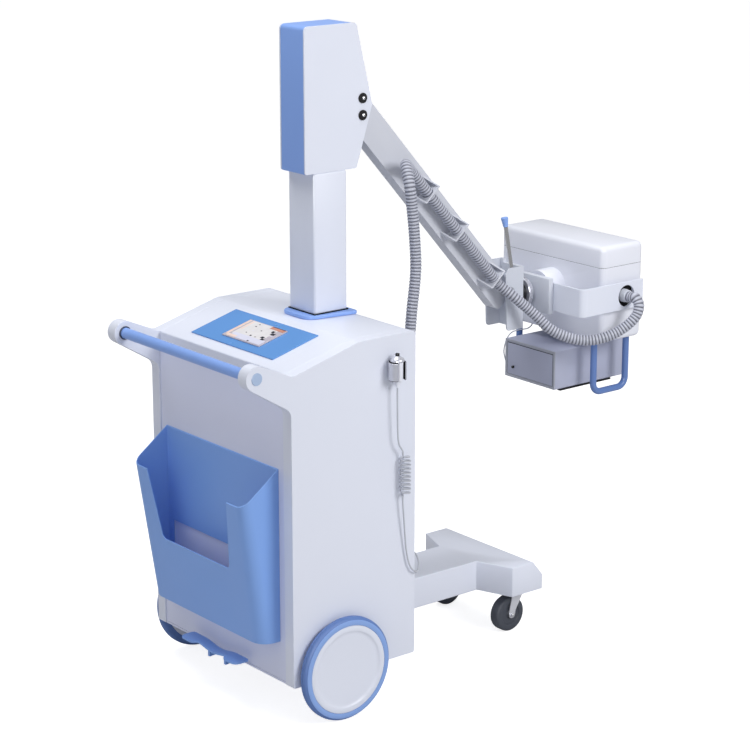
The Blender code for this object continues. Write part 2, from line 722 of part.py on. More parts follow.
def cassette_bin():
    """An open sheet-metal pocket: sloped front with a wide cut, and a window in its back."""
    back = REAR_PANEL_INSET - GAP
    high = BIN_BACK_TOP + CUT_LENGTH / 4
    outer = bin_shell("cassette_bin", 0, BIN_BOTTOM, high, PARTS)
    hollow = bin_shell("bin_hollow", BIN_SHEET, BIN_BOTTOM + BIN_SHEET, high + CUT_LENGTH / 4, CUTTERS)
    fall = (BIN_BACK_TOP - BIN_FRONT_TOP) / (back + BIN_DEPTH_TOP)
    above = [
        (back - CUT_LENGTH, BIN_BACK_TOP - CUT_LENGTH * fall), (back + CUT_LENGTH, BIN_BACK_TOP + CUT_LENGTH * fall),
        (back + CUT_LENGTH, BIN_BACK_TOP + 2 * CUT_LENGTH), (back - CUT_LENGTH, BIN_BACK_TOP + 2 * CUT_LENGTH)]
    rim = solid_sheet("bin_rim", above, 4 * BIN_HALF, "XZ", (0, 0, 0), "machine", None, CUTTERS)
    opening = rounded([
        (-BIN_CUT_HALF_FLOOR, BIN_CUT_FLOOR, BIN_CUT_CORNER),
        (BIN_CUT_HALF_FLOOR, BIN_CUT_FLOOR, BIN_CUT_CORNER),
        (BIN_CUT_HALF_TOP, BIN_FRONT_TOP, 0),
        (BIN_CUT_HALF_TOP, high, 0),
        (-BIN_CUT_HALF_TOP, high, 0),
        (-BIN_CUT_HALF_TOP, BIN_FRONT_TOP, 0),
    ])
    mouth = solid_sheet("bin_mouth", opening, CUT_LENGTH, "YZ", (back - 2 * BIN_SHEET - CUT_LENGTH / 2, 0, 0),
                        "machine", None, CUTTERS)
    window = block("bin_window", (back - 2 * BIN_SHEET, -BIN_WINDOW_HALF, BIN_WINDOW_FLOOR),
                   (back + BIN_SHEET, BIN_WINDOW_HALF, BIN_WINDOW_TOP), "machine", None, group=CUTTERS)
    cut(outer, hollow, rim, mouth, window)


def brake_pedals():
    """Two foot pads joined by a treadle that dips between them, on two ears under the base tray."""
    inner, outer = PEDAL_SPREAD - PEDAL_WIDTH / 2, PEDAL_SPREAD + PEDAL_WIDTH / 2
    top = [(y, PEDAL_HEIGHT + PEDAL_THICKNESS - TREADLE_DIP * (1 + math.cos(math.pi * y / inner)) / 2)
           for y in (inner * step / 6 for step in range(-6, 7))]
    top = [(-outer, PEDAL_HEIGHT + PEDAL_THICKNESS), *top, (outer, PEDAL_HEIGHT + PEDAL_THICKNESS)]
    section = [(y, z - PEDAL_THICKNESS) for y, z in top] + top[::-1]
    end = PEDAL_TIP + PEDAL_LENGTH
    treadle = solid_sheet("brake_pedals", section, PEDAL_LENGTH + CUT_LENGTH, "YZ", (PEDAL_TIP, 0, 0), "machine",
                          "blue_paint")
    web = PEDAL_TIP + TREADLE_INSET
    plan = [(end, -outer, PEDAL_CORNER / 2), (end, outer, PEDAL_CORNER / 2), (PEDAL_TIP, outer, PEDAL_CORNER),
            (PEDAL_TIP, inner, PEDAL_CORNER), (web, inner - 0.012, 0.012), (web, 0.012 - inner, 0.012),
            (PEDAL_TIP, -inner, PEDAL_CORNER), (PEDAL_TIP, -outer, PEDAL_CORNER)]
    outline = solid_sheet("pedal_outline", rounded(plan), CUT_LENGTH, "XY", (0, 0, PEDAL_HEIGHT), "machine", None,
                          CUTTERS)
    combine(treadle, outline, "INTERSECT")
    for name, side in SIDES:
        y = side * inner / 2
        low = CABINET_BOTTOM - GAP - PEDAL_EAR_DROP
        post = block(f"pedal_post_{name}", (end - 2 * PEDAL_EAR_WIDTH, y - PEDAL_EAR_WIDTH / 2, low),
                     (end - PEDAL_EAR_WIDTH, y + PEDAL_EAR_WIDTH / 2, PEDAL_HEIGHT - TREADLE_DIP / 2),
                     "machine", None, group=CUTTERS)
        ear = block(f"pedal_ear_{name}", (end - 1.5 * PEDAL_EAR_WIDTH, y - PEDAL_EAR_WIDTH / 2 + 0.0005, low + 0.0005),
                    (PEDAL_EAR_END, y + PEDAL_EAR_WIDTH / 2 - 0.0005, CABINET_BOTTOM - GAP),
                    "machine", None, group=CUTTERS)
        fuse(treadle, post, ear)


def main_wheels():
    """The axle, and on each side a hub with a tyre."""
    axle_half = WHEEL_OUTER - HUB_CROWN - HUB_FACE - GAP
    rod("main_axle", AXLE_RADIUS, (WHEEL_X, -axle_half, WHEEL_RADIUS), 2 * axle_half, "Y", "machine", "steel", 20)
    half = WHEEL_WIDTH / 2
    rim = WHEEL_RADIUS - TYRE_SECTION
    tyre = [(rim, half), (WHEEL_RADIUS - 0.007, half), (WHEEL_RADIUS - 0.002, half - 0.004),
            (WHEEL_RADIUS, half - 0.009), (WHEEL_RADIUS, 0.009 - half),
            (WHEEL_RADIUS - 0.002, 0.004 - half), (WHEEL_RADIUS - 0.007, -half), (rim, -half), (rim, half)]
    hub_outer = rim - GAP
    bore = AXLE_RADIUS + GAP
    crown = half + HUB_CROWN
    hub = [(0, crown), (rim - 0.016, crown), (rim - 0.013, crown - 0.003), (rim - 0.010, crown),
           (hub_outer - 0.002, crown), (hub_outer, half), (hub_outer, -half), (rim - 0.012, -half),
           (rim - 0.020, 0.006 - half), (2.5 * AXLE_RADIUS, 0.006 - half), (2 * AXLE_RADIUS, -half),
           (bore, -half), (bore, half - HUB_FACE), (0, half - HUB_FACE)]
    for name, side in SIDES:
        middle = side * (WHEEL_OUTER - crown)
        place = (WHEEL_X, middle, WHEEL_RADIUS)
        axis = "Y" if side > 0 else "-Y"
        turned(f"main_tyre_{name}", tyre, axis, place, f"wheel_{name}", "blue_plastic", 40)
        turned(f"main_hub_{name}", hub, axis, place, f"wheel_{name}", "white_paint", 40)


def leg_frame():
    """The leg beam flares into a cross foot whose front edge is chamfered."""
    plan = [
        (LEG_REAR, -LEG_HALF), (LEG_FLARE, -LEG_HALF), (FOOT_REAR, -FOOT_HALF), (FOOT_FRONT, -FOOT_HALF),
        (FOOT_FRONT, FOOT_HALF), (FOOT_REAR, FOOT_HALF), (LEG_FLARE, LEG_HALF), (LEG_REAR, LEG_HALF),
    ]
    frame = solid_sheet("leg_frame", plan, LEG_TOP - LEG_BOTTOM, "XY", (0, 0, (LEG_TOP + LEG_BOTTOM) / 2),
                        "machine", "white_paint")
    run, drop = FOOT_FRONT - FOOT_TOP_FRONT, LEG_TOP - FOOT_CHAMFER_Z
    wedge = [(FOOT_FRONT + run, FOOT_CHAMFER_Z - drop), (FOOT_FRONT + CUT_LENGTH, FOOT_CHAMFER_Z - drop),
             (FOOT_FRONT + CUT_LENGTH, LEG_TOP + drop), (FOOT_TOP_FRONT - run, LEG_TOP + drop)]
    front = solid_sheet("foot_chamfer", wedge, 4 * FOOT_HALF, "XZ", (0, 0, 0), "machine", None, CUTTERS)
    cut(frame, front)
    soften(frame, 0.003, 2)


def casters():
    """Two forks, their plates and their wheels under the foot."""
    plate_low = LEG_BOTTOM - GAP - CASTER_PLATE_THICKNESS
    fork_top = plate_low - 0.0005
    inner = CASTER_WHEEL_WIDTH / 2 + 0.002
    outer = inner + CASTER_FORK_THICKNESS
    axle_z = CASTER_WHEEL_RADIUS
    plate = [(0, CASTER_PLATE_THICKNESS), (CASTER_PLATE_RADIUS, CASTER_PLATE_THICKNESS),
             (CASTER_PLATE_RADIUS, 0.003), (CASTER_PLATE_RADIUS - 0.004, 0), (0, 0)]
    for name, side in SIDES:
        y = side * CASTER_Y
        turned(f"caster_plate_{name}", plate, "Z", (CASTER_X, y, plate_low), "machine", "black_plastic", 24)
        fork = turned(f"caster_fork_{name}", [(0, 0), (0.026, 0), (0.026, -0.006), (0, -0.006)], "Z",
                      (CASTER_X, y, fork_top), f"caster_{name}", "steel", 24)
        axle_x = CASTER_X - CASTER_TRAIL
        leg = rounded([
            (CASTER_X - 0.022, fork_top - 0.003, 0), (axle_x - 0.010, axle_z + 0.010, 0.004),
            (axle_x - 0.009, axle_z - 0.010, 0.008), (axle_x + 0.010, axle_z - 0.010, 0.008),
            (axle_x + 0.014, axle_z + 0.012, 0.006), (CASTER_X + 0.018, fork_top - 0.003, 0)][::1])
        for tag, way in (("a", 1), ("b", -1)):
            cheek = solid_sheet(f"fork_leg_{name}_{tag}", leg, CASTER_FORK_THICKNESS, "XZ",
                                (0, y + way * (inner + outer) / 2, 0), f"caster_{name}", None, CUTTERS)
            fuse(fork, cheek)
        axle = rod(f"fork_axle_{name}", CASTER_AXLE_RADIUS, (axle_x, y - outer - 0.003, axle_z), 2 * outer + 0.006, "Y",
                   f"caster_{name}", None, 16, CUTTERS)
        fuse(fork, axle)
        half = CASTER_WHEEL_WIDTH / 2
        bore = CASTER_AXLE_RADIUS + GAP
        wheel = [(bore, half - 0.001), (0.012, half), (0.014, half - 0.004), (0.030, half - 0.004),
                 (0.033, half), (CASTER_WHEEL_RADIUS - 0.006, half), (CASTER_WHEEL_RADIUS, half - 0.006),
                 (CASTER_WHEEL_RADIUS, 0.006 - half), (CASTER_WHEEL_RADIUS - 0.006, -half), (0.033, -half),
                 (0.030, 0.004 - half), (0.014, 0.004 - half), (0.012, -half), (bore, 0.001 - half),
                 (bore, half - 0.001)]
        turned(f"front_wheel_{name}", wheel, "Y", (axle_x, y, axle_z), f"caster_wheel_{name}", "rubber", 28)


def column():
    """The plate on the deck and the column that stands on it."""
    front = CABINET_DEPTH - COLUMN_PLATE_INSET
    plate = rounded([
        (COLUMN_PLATE_REAR, -COLUMN_PLATE_REAR_HALF, COLUMN_PLATE_CORNER),
        (front, -COLUMN_PLATE_FRONT_HALF, CABINET_CORNER), (front, COLUMN_PLATE_FRONT_HALF, CABINET_CORNER),
        (COLUMN_PLATE_REAR, COLUMN_PLATE_REAR_HALF, COLUMN_PLATE_CORNER)], 6)
    base = DECK_HEIGHT + GAP
    sheet("column_plate", plate, COLUMN_PLATE_THICKNESS, "XY", (0, 0, base + COLUMN_PLATE_THICKNESS / 2),
          "machine", "blue_plastic")
    foot = base + COLUMN_PLATE_THICKNESS + GAP
    block("column", (COLUMN_REAR, -COLUMN_HALF, foot), (COLUMN_FRONT, COLUMN_HALF, HEAD_BOTTOM - GAP),
          "machine", "white_paint", 0.004)


def head():
    """White head with a slot for the arm, and a blue cover let into its back and top."""
    side = rounded([
        (HEAD_REAR, HEAD_BOTTOM, 0.006), (HEAD_FRONT, HEAD_BOTTOM, 0.008), (*HEAD_KNEE, 0.020),
        (HEAD_FRONT, HEAD_TOP, 0.010), (HEAD_REAR, HEAD_TOP, HEAD_CORNER)])
    housing = solid_sheet("head_housing", side, 2 * HEAD_HALF, "XZ", (0, 0, 0), "machine", "white_paint")
    slot = block("arm_slot", (HEAD_SLOT_REAR, -ARM_HALF - MOVING_CLEARANCE, HEAD_SLOT_FLOOR),
                 (HEAD_KNEE[0] + CUT_LENGTH / 2, ARM_HALF + MOVING_CLEARANCE, HEAD_SLOT_TOP), "machine", None,
                 group=CUTTERS)
    bore = rod("head_pin_bore", PIN_RADIUS + GAP, (HEAD_PIN[0], -CUT_LENGTH / 2, HEAD_PIN[1]), CUT_LENGTH, "Y",
               "machine", None, 24, CUTTERS)
    seat_half = HEAD_HALF - HEAD_CHEEK
    seat_x, seat_z = HEAD_REAR + HEAD_COVER + GAP, HEAD_TOP - HEAD_COVER - GAP
    seat = [
        (HEAD_REAR - CUT_LENGTH / 2, HEAD_BOTTOM - CUT_LENGTH / 2), (seat_x, HEAD_BOTTOM - CUT_LENGTH / 2),
        (seat_x, seat_z), (HEAD_FRONT - HEAD_LIP, seat_z), (HEAD_FRONT - HEAD_LIP, HEAD_TOP + CUT_LENGTH / 2),
        (HEAD_REAR - CUT_LENGTH / 2, HEAD_TOP + CUT_LENGTH / 2)]
    recess = solid_sheet("cover_seat", seat, 2 * seat_half, "XZ", (0, 0, 0), "machine", None, CUTTERS)
    cut(housing, slot, bore, recess)
    lip = HEAD_FRONT - HEAD_LIP - GAP
    blue = [
        (HEAD_REAR, HEAD_BOTTOM, 0.004), (HEAD_REAR + HEAD_COVER, HEAD_BOTTOM, 0),
        (HEAD_REAR + HEAD_COVER, HEAD_TOP - HEAD_COVER, 0), (lip, HEAD_TOP - HEAD_COVER, 0),
        (lip, HEAD_TOP, 0), (HEAD_REAR, HEAD_TOP, HEAD_CORNER)]
    sheet("head_cover", rounded(blue), 2 * (seat_half - GAP), "XZ", (0, 0, 0), "machine", "blue_plastic")
    cap = PIN_CAP_THICKNESS
    profile = [(0, 2 * HEAD_HALF + cap + GAP), (PIN_CAP_RADIUS, 2 * HEAD_HALF + cap + GAP),
               (PIN_CAP_RADIUS, 2 * HEAD_HALF + GAP), (PIN_RADIUS, 2 * HEAD_HALF + GAP),
               (PIN_RADIUS, -GAP), (PIN_CAP_RADIUS, -GAP), (PIN_CAP_RADIUS, -cap - GAP), (0, -cap - GAP)]
    turned("head_pin", profile, "Y", (HEAD_PIN[0], -HEAD_HALF, HEAD_PIN[1]), "machine", "black_plastic", 24)
    stub = [(0, cap + GAP), (PIN_CAP_RADIUS, cap + GAP), (PIN_CAP_RADIUS, GAP), (0, GAP)]
    for name, side in SIDES:
        turned(f"link_pin_{name}", stub, "Y" if side > 0 else "-Y",
               (HEAD_PIN[0], side * HEAD_HALF, HEAD_PIN[1] - PIN_DROP), "machine", "black_plastic", 24)


def arm_clip(index, place):
    """A folded bracket: a plate across the arm, and two wings uphill of it that taper to the arm."""
    low, high = ARM_MIDDLE - CLIP_HEIGHT / 2, ARM_MIDDLE + CLIP_HEIGHT / 2
    front, back, tip = place + CLIP_THICKNESS / 2, place - CLIP_THICKNESS / 2, place - CLIP_WING
    section = [
        (tip, low), (front, low), (front, high), (tip, high), (tip, high - CLIP_THICKNESS),
        (back, high - CLIP_THICKNESS), (back, low + CLIP_THICKNESS), (tip, low + CLIP_THICKNESS)]
    root, reach = CLIP_ROOT - ARM_HALF, -ARM_HALF - CLIP_REACH
    bracket = solid_sheet(f"clip_{index}", section, root - reach, "XZ", (HEAD_PIN[0], (root + reach) / 2, HEAD_PIN[1]),
                          "arm", None, CUTTERS)
    waste = [(back, reach), (tip, root - CLIP_ROOT / 2), (tip - CLIP_ROOT, root), (tip - CLIP_ROOT, reach - CLIP_ROOT),
             (back, reach - CLIP_ROOT)]
    taper = solid_sheet(f"clip_taper_{index}", waste, CUT_LENGTH, "XY", (HEAD_PIN[0], 0, HEAD_PIN[1]), "arm", None,
                        CUTTERS)
    for piece in (bracket, taper):
        piece.rotation_euler.y = -ARM_ANGLE
    return cut(bracket, taper)


def arm():
    """Box arm with rounded pin ends and a heel, and three clips that hold the hose."""
    tip = (ARM_LENGTH, 0)
    top_end = (ARM_LENGTH - ARM_SHOULDER, ARM_TOP)
    heel = (ARM_LENGTH + ARM_HEEL, ARM_BELOW)
    top_root = (ARM_SHOULDER, ARM_TOP)
    low_root = (ARM_SHOULDER, ARM_BELOW)

    def wrap(centre, radius, first, second, steps):
        """The arc about a pin between the tangents from two corners, counterclockwise."""
        start = tangent(first, centre, radius, 1)
        end = tangent(second, centre, radius, -1)
        return arc(centre, radius, start, start + (end - start) % 360, steps)

    end = wrap(tip, ARM_TIP_RADIUS, heel, top_end, 10)
    local = [*rounded([(*low_root, 0), (*heel, ARM_HEEL_CORNER), (*end[0], 0)]), *end[1:], top_end, top_root,
             *wrap((0, 0), ARM_HEAD_RADIUS, top_root, low_root, 10)]
    points = [arm_point(u, v) for u, v in local]
    beam = solid_sheet("arm_beam", points, 2 * ARM_HALF, "XZ", (0, 0, 0), "arm", "light_grey")
    for index, place in enumerate(CLIP_PLACES, 1):
        fuse(beam, arm_clip(index, place))
    margin = 0.05
    axis_x, axis_z = arm_point(CLIP_PLACES[0] - margin, ARM_MIDDLE)
    length = CLIP_PLACES[-1] - CLIP_PLACES[0] + 2 * margin
    hole = rod("clip_holes", CLIP_BORE, (axis_x, -HOSE_OFFSET, axis_z), length, "X", "arm", None, 24, CUTTERS)
    hole.rotation_euler = (0, -ARM_ANGLE, 0)
    for index, (x, z) in enumerate((HEAD_PIN, KNUCKLE_PIN)):
        bore = rod(f"arm_bore_{index}", PIN_RADIUS + GAP, (x, -CUT_LENGTH / 2, z), CUT_LENGTH, "Y", "arm", None, 24,
                   CUTTERS)
        cut(beam, bore)
    cut(beam, hole)


def knuckle():
    """Two cheeks about the arm's end, one lower under the lock lever, and the disc that the yoke turns on."""
    outline = rounded([
        (CHEEK_REAR + CHEEK_SLANT, CHEEK_BOTTOM, 0.010), (CHEEK_FRONT, CHEEK_BOTTOM, 0.004), (CHEEK_FRONT, CHEEK_TOP, 0.004),
        (CHEEK_REAR + 0.022, CHEEK_TOP, 0.003), (CHEEK_REAR, CHEEK_TOP - 0.026, 0.004)])
    outer = CHEEK_INNER + CHEEK_THICKNESS
    cheeks = solid_sheet("knuckle_cheeks", outline, 2 * outer, "XZ", (0, 0, 0), "knuckle", "light_grey")
    beyond = CUT_LENGTH / 2
    inside = block("cheek_gap", (CHEEK_REAR - beyond, -CHEEK_INNER, CHEEK_BOTTOM - beyond),
                   (CHEEK_FRONT - KNUCKLE_WEB, CHEEK_INNER, CHEEK_TOP + beyond), "knuckle", None, group=CUTTERS)
    step = block("lever_step", (CHEEK_REAR - beyond, -outer - beyond, CHEEK_LEVER_TOP),
                 (CHEEK_FRONT + beyond, CHEEK_INNER - KNUCKLE_WEB, CHEEK_TOP + beyond), "knuckle", None, group=CUTTERS)
    bore = rod("knuckle_pin_bore", PIN_RADIUS + GAP, (KNUCKLE_PIN[0], -beyond, KNUCKLE_PIN[1]), CUT_LENGTH, "Y",
               "knuckle", None, 24, CUTTERS)
    cut(cheeks, inside, step, bore)
    pin_half = outer + 0.0035
    spacer = ARM_HALF + 0.001
    profile = [(0, pin_half), (PIN_CAP_RADIUS, pin_half), (PIN_CAP_RADIUS, outer + GAP), (PIN_RADIUS, outer + GAP),
               (PIN_RADIUS, CHEEK_INNER - GAP), (SPACER_RADIUS, CHEEK_INNER - GAP), (SPACER_RADIUS, spacer),
               (PIN_RADIUS, spacer), (PIN_RADIUS, -spacer), (SPACER_RADIUS, -spacer),
               (SPACER_RADIUS, GAP - CHEEK_INNER), (PIN_RADIUS, GAP - CHEEK_INNER),
               (PIN_RADIUS, -outer - GAP), (PIN_CAP_RADIUS, -outer - GAP), (PIN_CAP_RADIUS, -pin_half), (0, -pin_half)]
    turned("knuckle_pin", profile, "Y", (KNUCKLE_PIN[0], 0, KNUCKLE_PIN[1]), "knuckle", "steel", 24)
    reach = TURN_DISC_FRONT - CHEEK_FRONT - GAP
    disc = [(0, reach), (TURN_DISC_RADIUS - 0.002, reach), (TURN_DISC_RADIUS, reach - 0.002),
            (TURN_DISC_RADIUS, reach - 0.014), (TURN_NECK_RADIUS, reach - 0.014), (TURN_NECK_RADIUS, 0), (0, 0)]
    turned("turn_disc", disc, "X", (CHEEK_FRONT + GAP, 0, TURN_HEIGHT), "knuckle", "steel", 32)


def lock_lever():
    """A flat blade on the near cheek that leans inwards, with a flared grip."""
    foot = Vector((LEVER_X, -CHEEK_INNER - CHEEK_THICKNESS / 2, CHEEK_LEVER_TOP + LEVER_SEAT))
    lean = Euler(LEVER_TILT).to_matrix() @ Vector((0, 0, 1))
    blade = block("lock_lever", (-LEVER_WIDTH / 2, -LEVER_THICKNESS / 2, 0),
                  (LEVER_WIDTH / 2, LEVER_THICKNESS / 2, LEVER_LENGTH), "knuckle", "chrome")
    adopt(blade, "knuckle", None, foot + lean * LEVER_LENGTH / 2)
    grip = [(0, GRIP_LENGTH), (GRIP_RADIUS - 0.002, GRIP_LENGTH), (GRIP_RADIUS, GRIP_LENGTH - 0.003),
            (GRIP_NECK_RADIUS, 0), (0, 0)]
    end = turned("lever_grip", grip, "Z", foot + lean * (LEVER_LENGTH + GAP), "knuckle", "blue_plastic", 20)
    for piece in (blade, end):
        piece.rotation_euler = LEVER_TILT


def yoke():
    """The plate that turns with the knuckle's disc, and the strap about the tube housing."""
    plate = block("yoke_plate", (YOKE_PLATE_REAR, -YOKE_PLATE_HALF, YOKE_PLATE_BOTTOM),
                  (YOKE_PLATE_REAR + YOKE_PLATE_THICKNESS - GAP, YOKE_PLATE_HALF, YOKE_PLATE_TOP), "yoke",
                  "light_grey", 0.002)
    stub = TURN_DISC_FRONT + GAP
    fuse(plate, rod("turn_bearing", TURN_BEARING_RADIUS, (stub, 0, TURN_HEIGHT), YOKE_PLATE_REAR + 0.005 - stub, "X", "yoke",
                    None, 28, CUTTERS))
    height = STRAP_TOP - STRAP_BOTTOM
    outer = rounded([(STRAP_REAR, -STRAP_RIGHT, STRAP_BEND), (STRAP_FRONT, -STRAP_RIGHT, 0),
                     (STRAP_FRONT, STRAP_LEFT, 0), (STRAP_REAR, STRAP_LEFT, STRAP_BEND)], 6)
    rear, front, bend = STRAP_REAR + STRAP_THICKNESS, STRAP_FRONT + CUT_LENGTH, STRAP_BEND - STRAP_THICKNESS
    right, left = STRAP_RIGHT - STRAP_THICKNESS, STRAP_LEFT - STRAP_THICKNESS
    inner = rounded([(rear, -right, bend), (front, -right, 0), (front, left, 0), (rear, left, bend)], 6)
    middle = (STRAP_TOP + STRAP_BOTTOM) / 2
    strap = solid_sheet("yoke_strap", outer, height, "XY", (0, 0, middle), "yoke", "white_paint")
    hollow = solid_sheet("strap_hollow", inner, 2 * height, "XY", (0, 0, middle), "yoke", None, CUTTERS)
    near = rod("strap_bore_right", STRAP_BORE, (TRUNNION[0], -STRAP_RIGHT - CUT_LENGTH / 2, TRUNNION[1]), CUT_LENGTH,
               "Y", "yoke", None, 32, CUTTERS)
    far = rod("strap_bore_left", PIN_RADIUS + GAP, (TRUNNION[0], STRAP_LEFT - CUT_LENGTH / 2, TRUNNION[1]),
              CUT_LENGTH, "Y", "yoke", None, 24, CUTTERS)
    cut(strap, hollow, near, far)


def tube_head():
    """The tube housing with its lid, its trunnions and two grab handles."""
    low, high = (TUBE_REAR, -TUBE_RIGHT, TUBE_BOTTOM), (TUBE_FRONT, TUBE_LEFT, TUBE_SEAM - GAP)
    housing = block("tube_housing", low, high, "tube", "white_paint")
    corners(housing, TUBE_CORNER, "low")
    boss = rod("tube_boss", TUBE_BOSS_RADIUS, (TUBE_BOSS_REAR, 0, TURN_HEIGHT), TUBE_REAR - TUBE_BOSS_REAR + 0.02,
               "X", "tube", None, 32, CUTTERS)
    fuse(housing, boss)
    lid = block("tube_lid", (TUBE_REAR, -TUBE_RIGHT, TUBE_SEAM), (TUBE_FRONT, TUBE_LEFT, TUBE_TOP), "tube",
                "white_paint")
    corners(lid, TUBE_CORNER, "high")
    rod("hose_fitting", FITTING_RADIUS, (TRUNNION[0], -FITTING_END, TRUNNION[1]), FITTING_LENGTH, "Y", "tube",
        "hose_grey", 24)
    knob = [(0, KNOB_LENGTH), (KNOB_RADIUS - 0.004, KNOB_LENGTH), (KNOB_RADIUS, KNOB_LENGTH - 0.004),
            (KNOB_RADIUS, KNOB_NECK), (PIN_RADIUS, KNOB_NECK), (PIN_RADIUS, 0), (0, 0)]
    turned("trunnion_knob", knob, "Y", (TRUNNION[0], TUBE_LEFT + GAP, TRUNNION[1]), "tube", "black_plastic", 24)
    for name, side in SIDES:
        y = side * GRAB_Y
        top = TUBE_BOTTOM - GAP
        bend = [(GRAB_REAR, top), *arc((GRAB_REAR + GRAB_BEND, GRAB_BOTTOM + GRAB_BEND), GRAB_BEND, 180, 270, 5),
                *arc((GRAB_FRONT - GRAB_BEND, GRAB_BOTTOM + GRAB_BEND), GRAB_BEND, 270, 360, 5), (GRAB_FRONT, top)]
        tube(f"grab_handle_{name}", [(x, y, z) for x, z in bend], GRAB_RADIUS, "tube", "blue_plastic", 3)


def corners(obj, radius, end):
    """Rounds a box's upright edges, and the edges of its low or high face."""
    bm = bmesh.new()
    bm.from_mesh(obj.data)
    top = max(v.co.z for v in bm.verts)
    chosen = []
    for edge in bm.edges:
        heights = [v.co.z for v in edge.verts]
        upright = abs(heights[0] - heights[1]) > 1e-6
        at_top = all(abs(h - top) < 1e-6 for h in heights)
        at_low = all(abs(h + top) < 1e-6 for h in heights)
        if upright or (end == "high" and at_top) or (end == "low" and at_low):
            chosen.append(edge)
    bmesh.ops.bevel(bm, geom=chosen, offset=radius, segments=4, profile=0.5, affect="EDGES")
    bm.to_mesh(obj.data)
    bm.free()
    return smooth(obj)


def collimator():
    """The box under the tube housing, its flange and its window."""
    block("collimator", (COLLIMATOR_REAR, -COLLIMATOR_HALF, COLLIMATOR_BOTTOM),
          (COLLIMATOR_FRONT, COLLIMATOR_HALF, COLLIMATOR_TOP), "tube", "grey_paint", 0.003)
    middle = (TUBE_REAR + TUBE_FRONT) / 2
    rod("collimator_flange", COLLIMATOR_FLANGE_RADIUS, (middle, 0, COLLIMATOR_TOP + GAP),
        TUBE_BOTTOM - COLLIMATOR_TOP - 2 * GAP, "Z", "tube", "dark_blue", 32)
    side = COLLIMATOR_HALF - WINDOW_SIDE_MARGIN
    block("collimator_window", (COLLIMATOR_REAR + WINDOW_REAR_MARGIN, -side, COLLIMATOR_BOTTOM - GAP - WINDOW_THICKNESS),
          (COLLIMATOR_FRONT - WINDOW_FRONT_MARGIN, side, COLLIMATOR_BOTTOM - GAP), "tube", "black_plastic", 0.001)


def nearest(route, point):
    """Index of the route's point closest to a given point."""
    return min(range(len(route)), key=lambda i: (route[i] - Vector(point)).length)


LEAD_TAIL = [(0.3600, -0.3250, 0.50), (0.3680, -0.3200, 0.42), (0.3780, -0.3210, 0.37), (0.3930, -0.3210, 0.347),
             (0.4080, -0.3160, 0.346), (0.4220, -0.3020, 0.360), (0.4270, -0.2860, 0.377)]
GLAND_LENGTH = 0.014
GLAND_END = CABINET_DEPTH + GLAND_LENGTH + 3 * GAP
HOSE_RUN = [(x, -HOSE_OFFSET, z) for x, z in
            (arm_point(along, ARM_MIDDLE) for along in (0.315, 0.364, 0.450, 0.523, 0.650, 0.725, 0.745))]
HOSE_ROUTE = [
    (GLAND_END, -0.130, 0.800), (0.430, -0.130, 0.800), (0.450, -0.130, 0.804), (0.500, -0.130, 0.838),
    (0.526, -0.130, 0.910),
    (0.535, -0.130, 1.000), (0.547, -0.130, 1.100), (0.545, -0.130, 1.190), (0.538, -0.130, 1.270),
    (0.530, -0.128, 1.335), (0.548, -0.092, 1.379), (0.590, -0.053, 1.362),
    *HOSE_RUN, (0.9370, -0.0570, 0.9800), (0.957, -0.074, 0.9585), (0.988, -0.090, 0.9280),
    (1.014, -0.112, 0.8975), (1.034, -0.134, 0.8700), (1.064, -0.160, 0.8480), (1.106, -0.192, 0.8340),
    (1.153, -0.222, 0.8380), (1.206, -0.248, 0.8580), (1.246, -0.270, 0.8920), (1.258, -0.270, 0.9250),
    (TRUNNION[0], -0.254, TRUNNION[1]), (TRUNNION[0], -0.240, TRUNNION[1]),
    (TRUNNION[0], -FITTING_END - 3 * GAP, TRUNNION[1]),
]
HOSE_SIDE_PLANE = -0.080
HOSE_TURN_PLANE = 1.035
HOSE_SPLITS = [
    # piece, body, first and last route point, then the planes that end it: (point, outward normal)
    ("hose_lift", "machine", 0, 12, [((0, HOSE_SIDE_PLANE - GAP, 0), (0, 1, 0))]),
    ("hose_arm", "arm", 8, 22, [((0, HOSE_SIDE_PLANE, 0), (0, -1, 0))]),
    ("hose_knuckle", "knuckle", 18, 25, [((0, HOSE_SIDE_PLANE - GAP, 0), (0, 1, 0)),
                                         ((HOSE_TURN_PLANE, 0, 0), (1, 0, 0))]),
    ("hose_yoke", "yoke", 22, 32, [((HOSE_TURN_PLANE + GAP, 0, 0), (-1, 0, 0))]),
]


def hose():
    """The hose in one stretch for each body that carries it, cut flat where two meet."""
    route = smooth_route(HOSE_ROUTE, 0.024)
    for name, body, first, last, planes in HOSE_SPLITS:
        low, high = nearest(route, HOSE_ROUTE[first]), nearest(route, HOSE_ROUTE[last])
        piece = as_mesh(tube(name, route[low:high + 1], HOSE_RADIUS, body, "hose_grey", 2))
        for point, normal in planes:
            trim(piece, body, point, normal)
    ring = [(0, GLAND_LENGTH), (0.017, GLAND_LENGTH), (0.021, 0.004), (0.026, 0.003), (0.026, 0), (0, 0)]
    turned("hose_gland", ring, "X", (CABINET_DEPTH + GAP, HOSE_ROUTE[0][1], HOSE_ROUTE[0][2]), "machine",
           "black_plastic", 24)


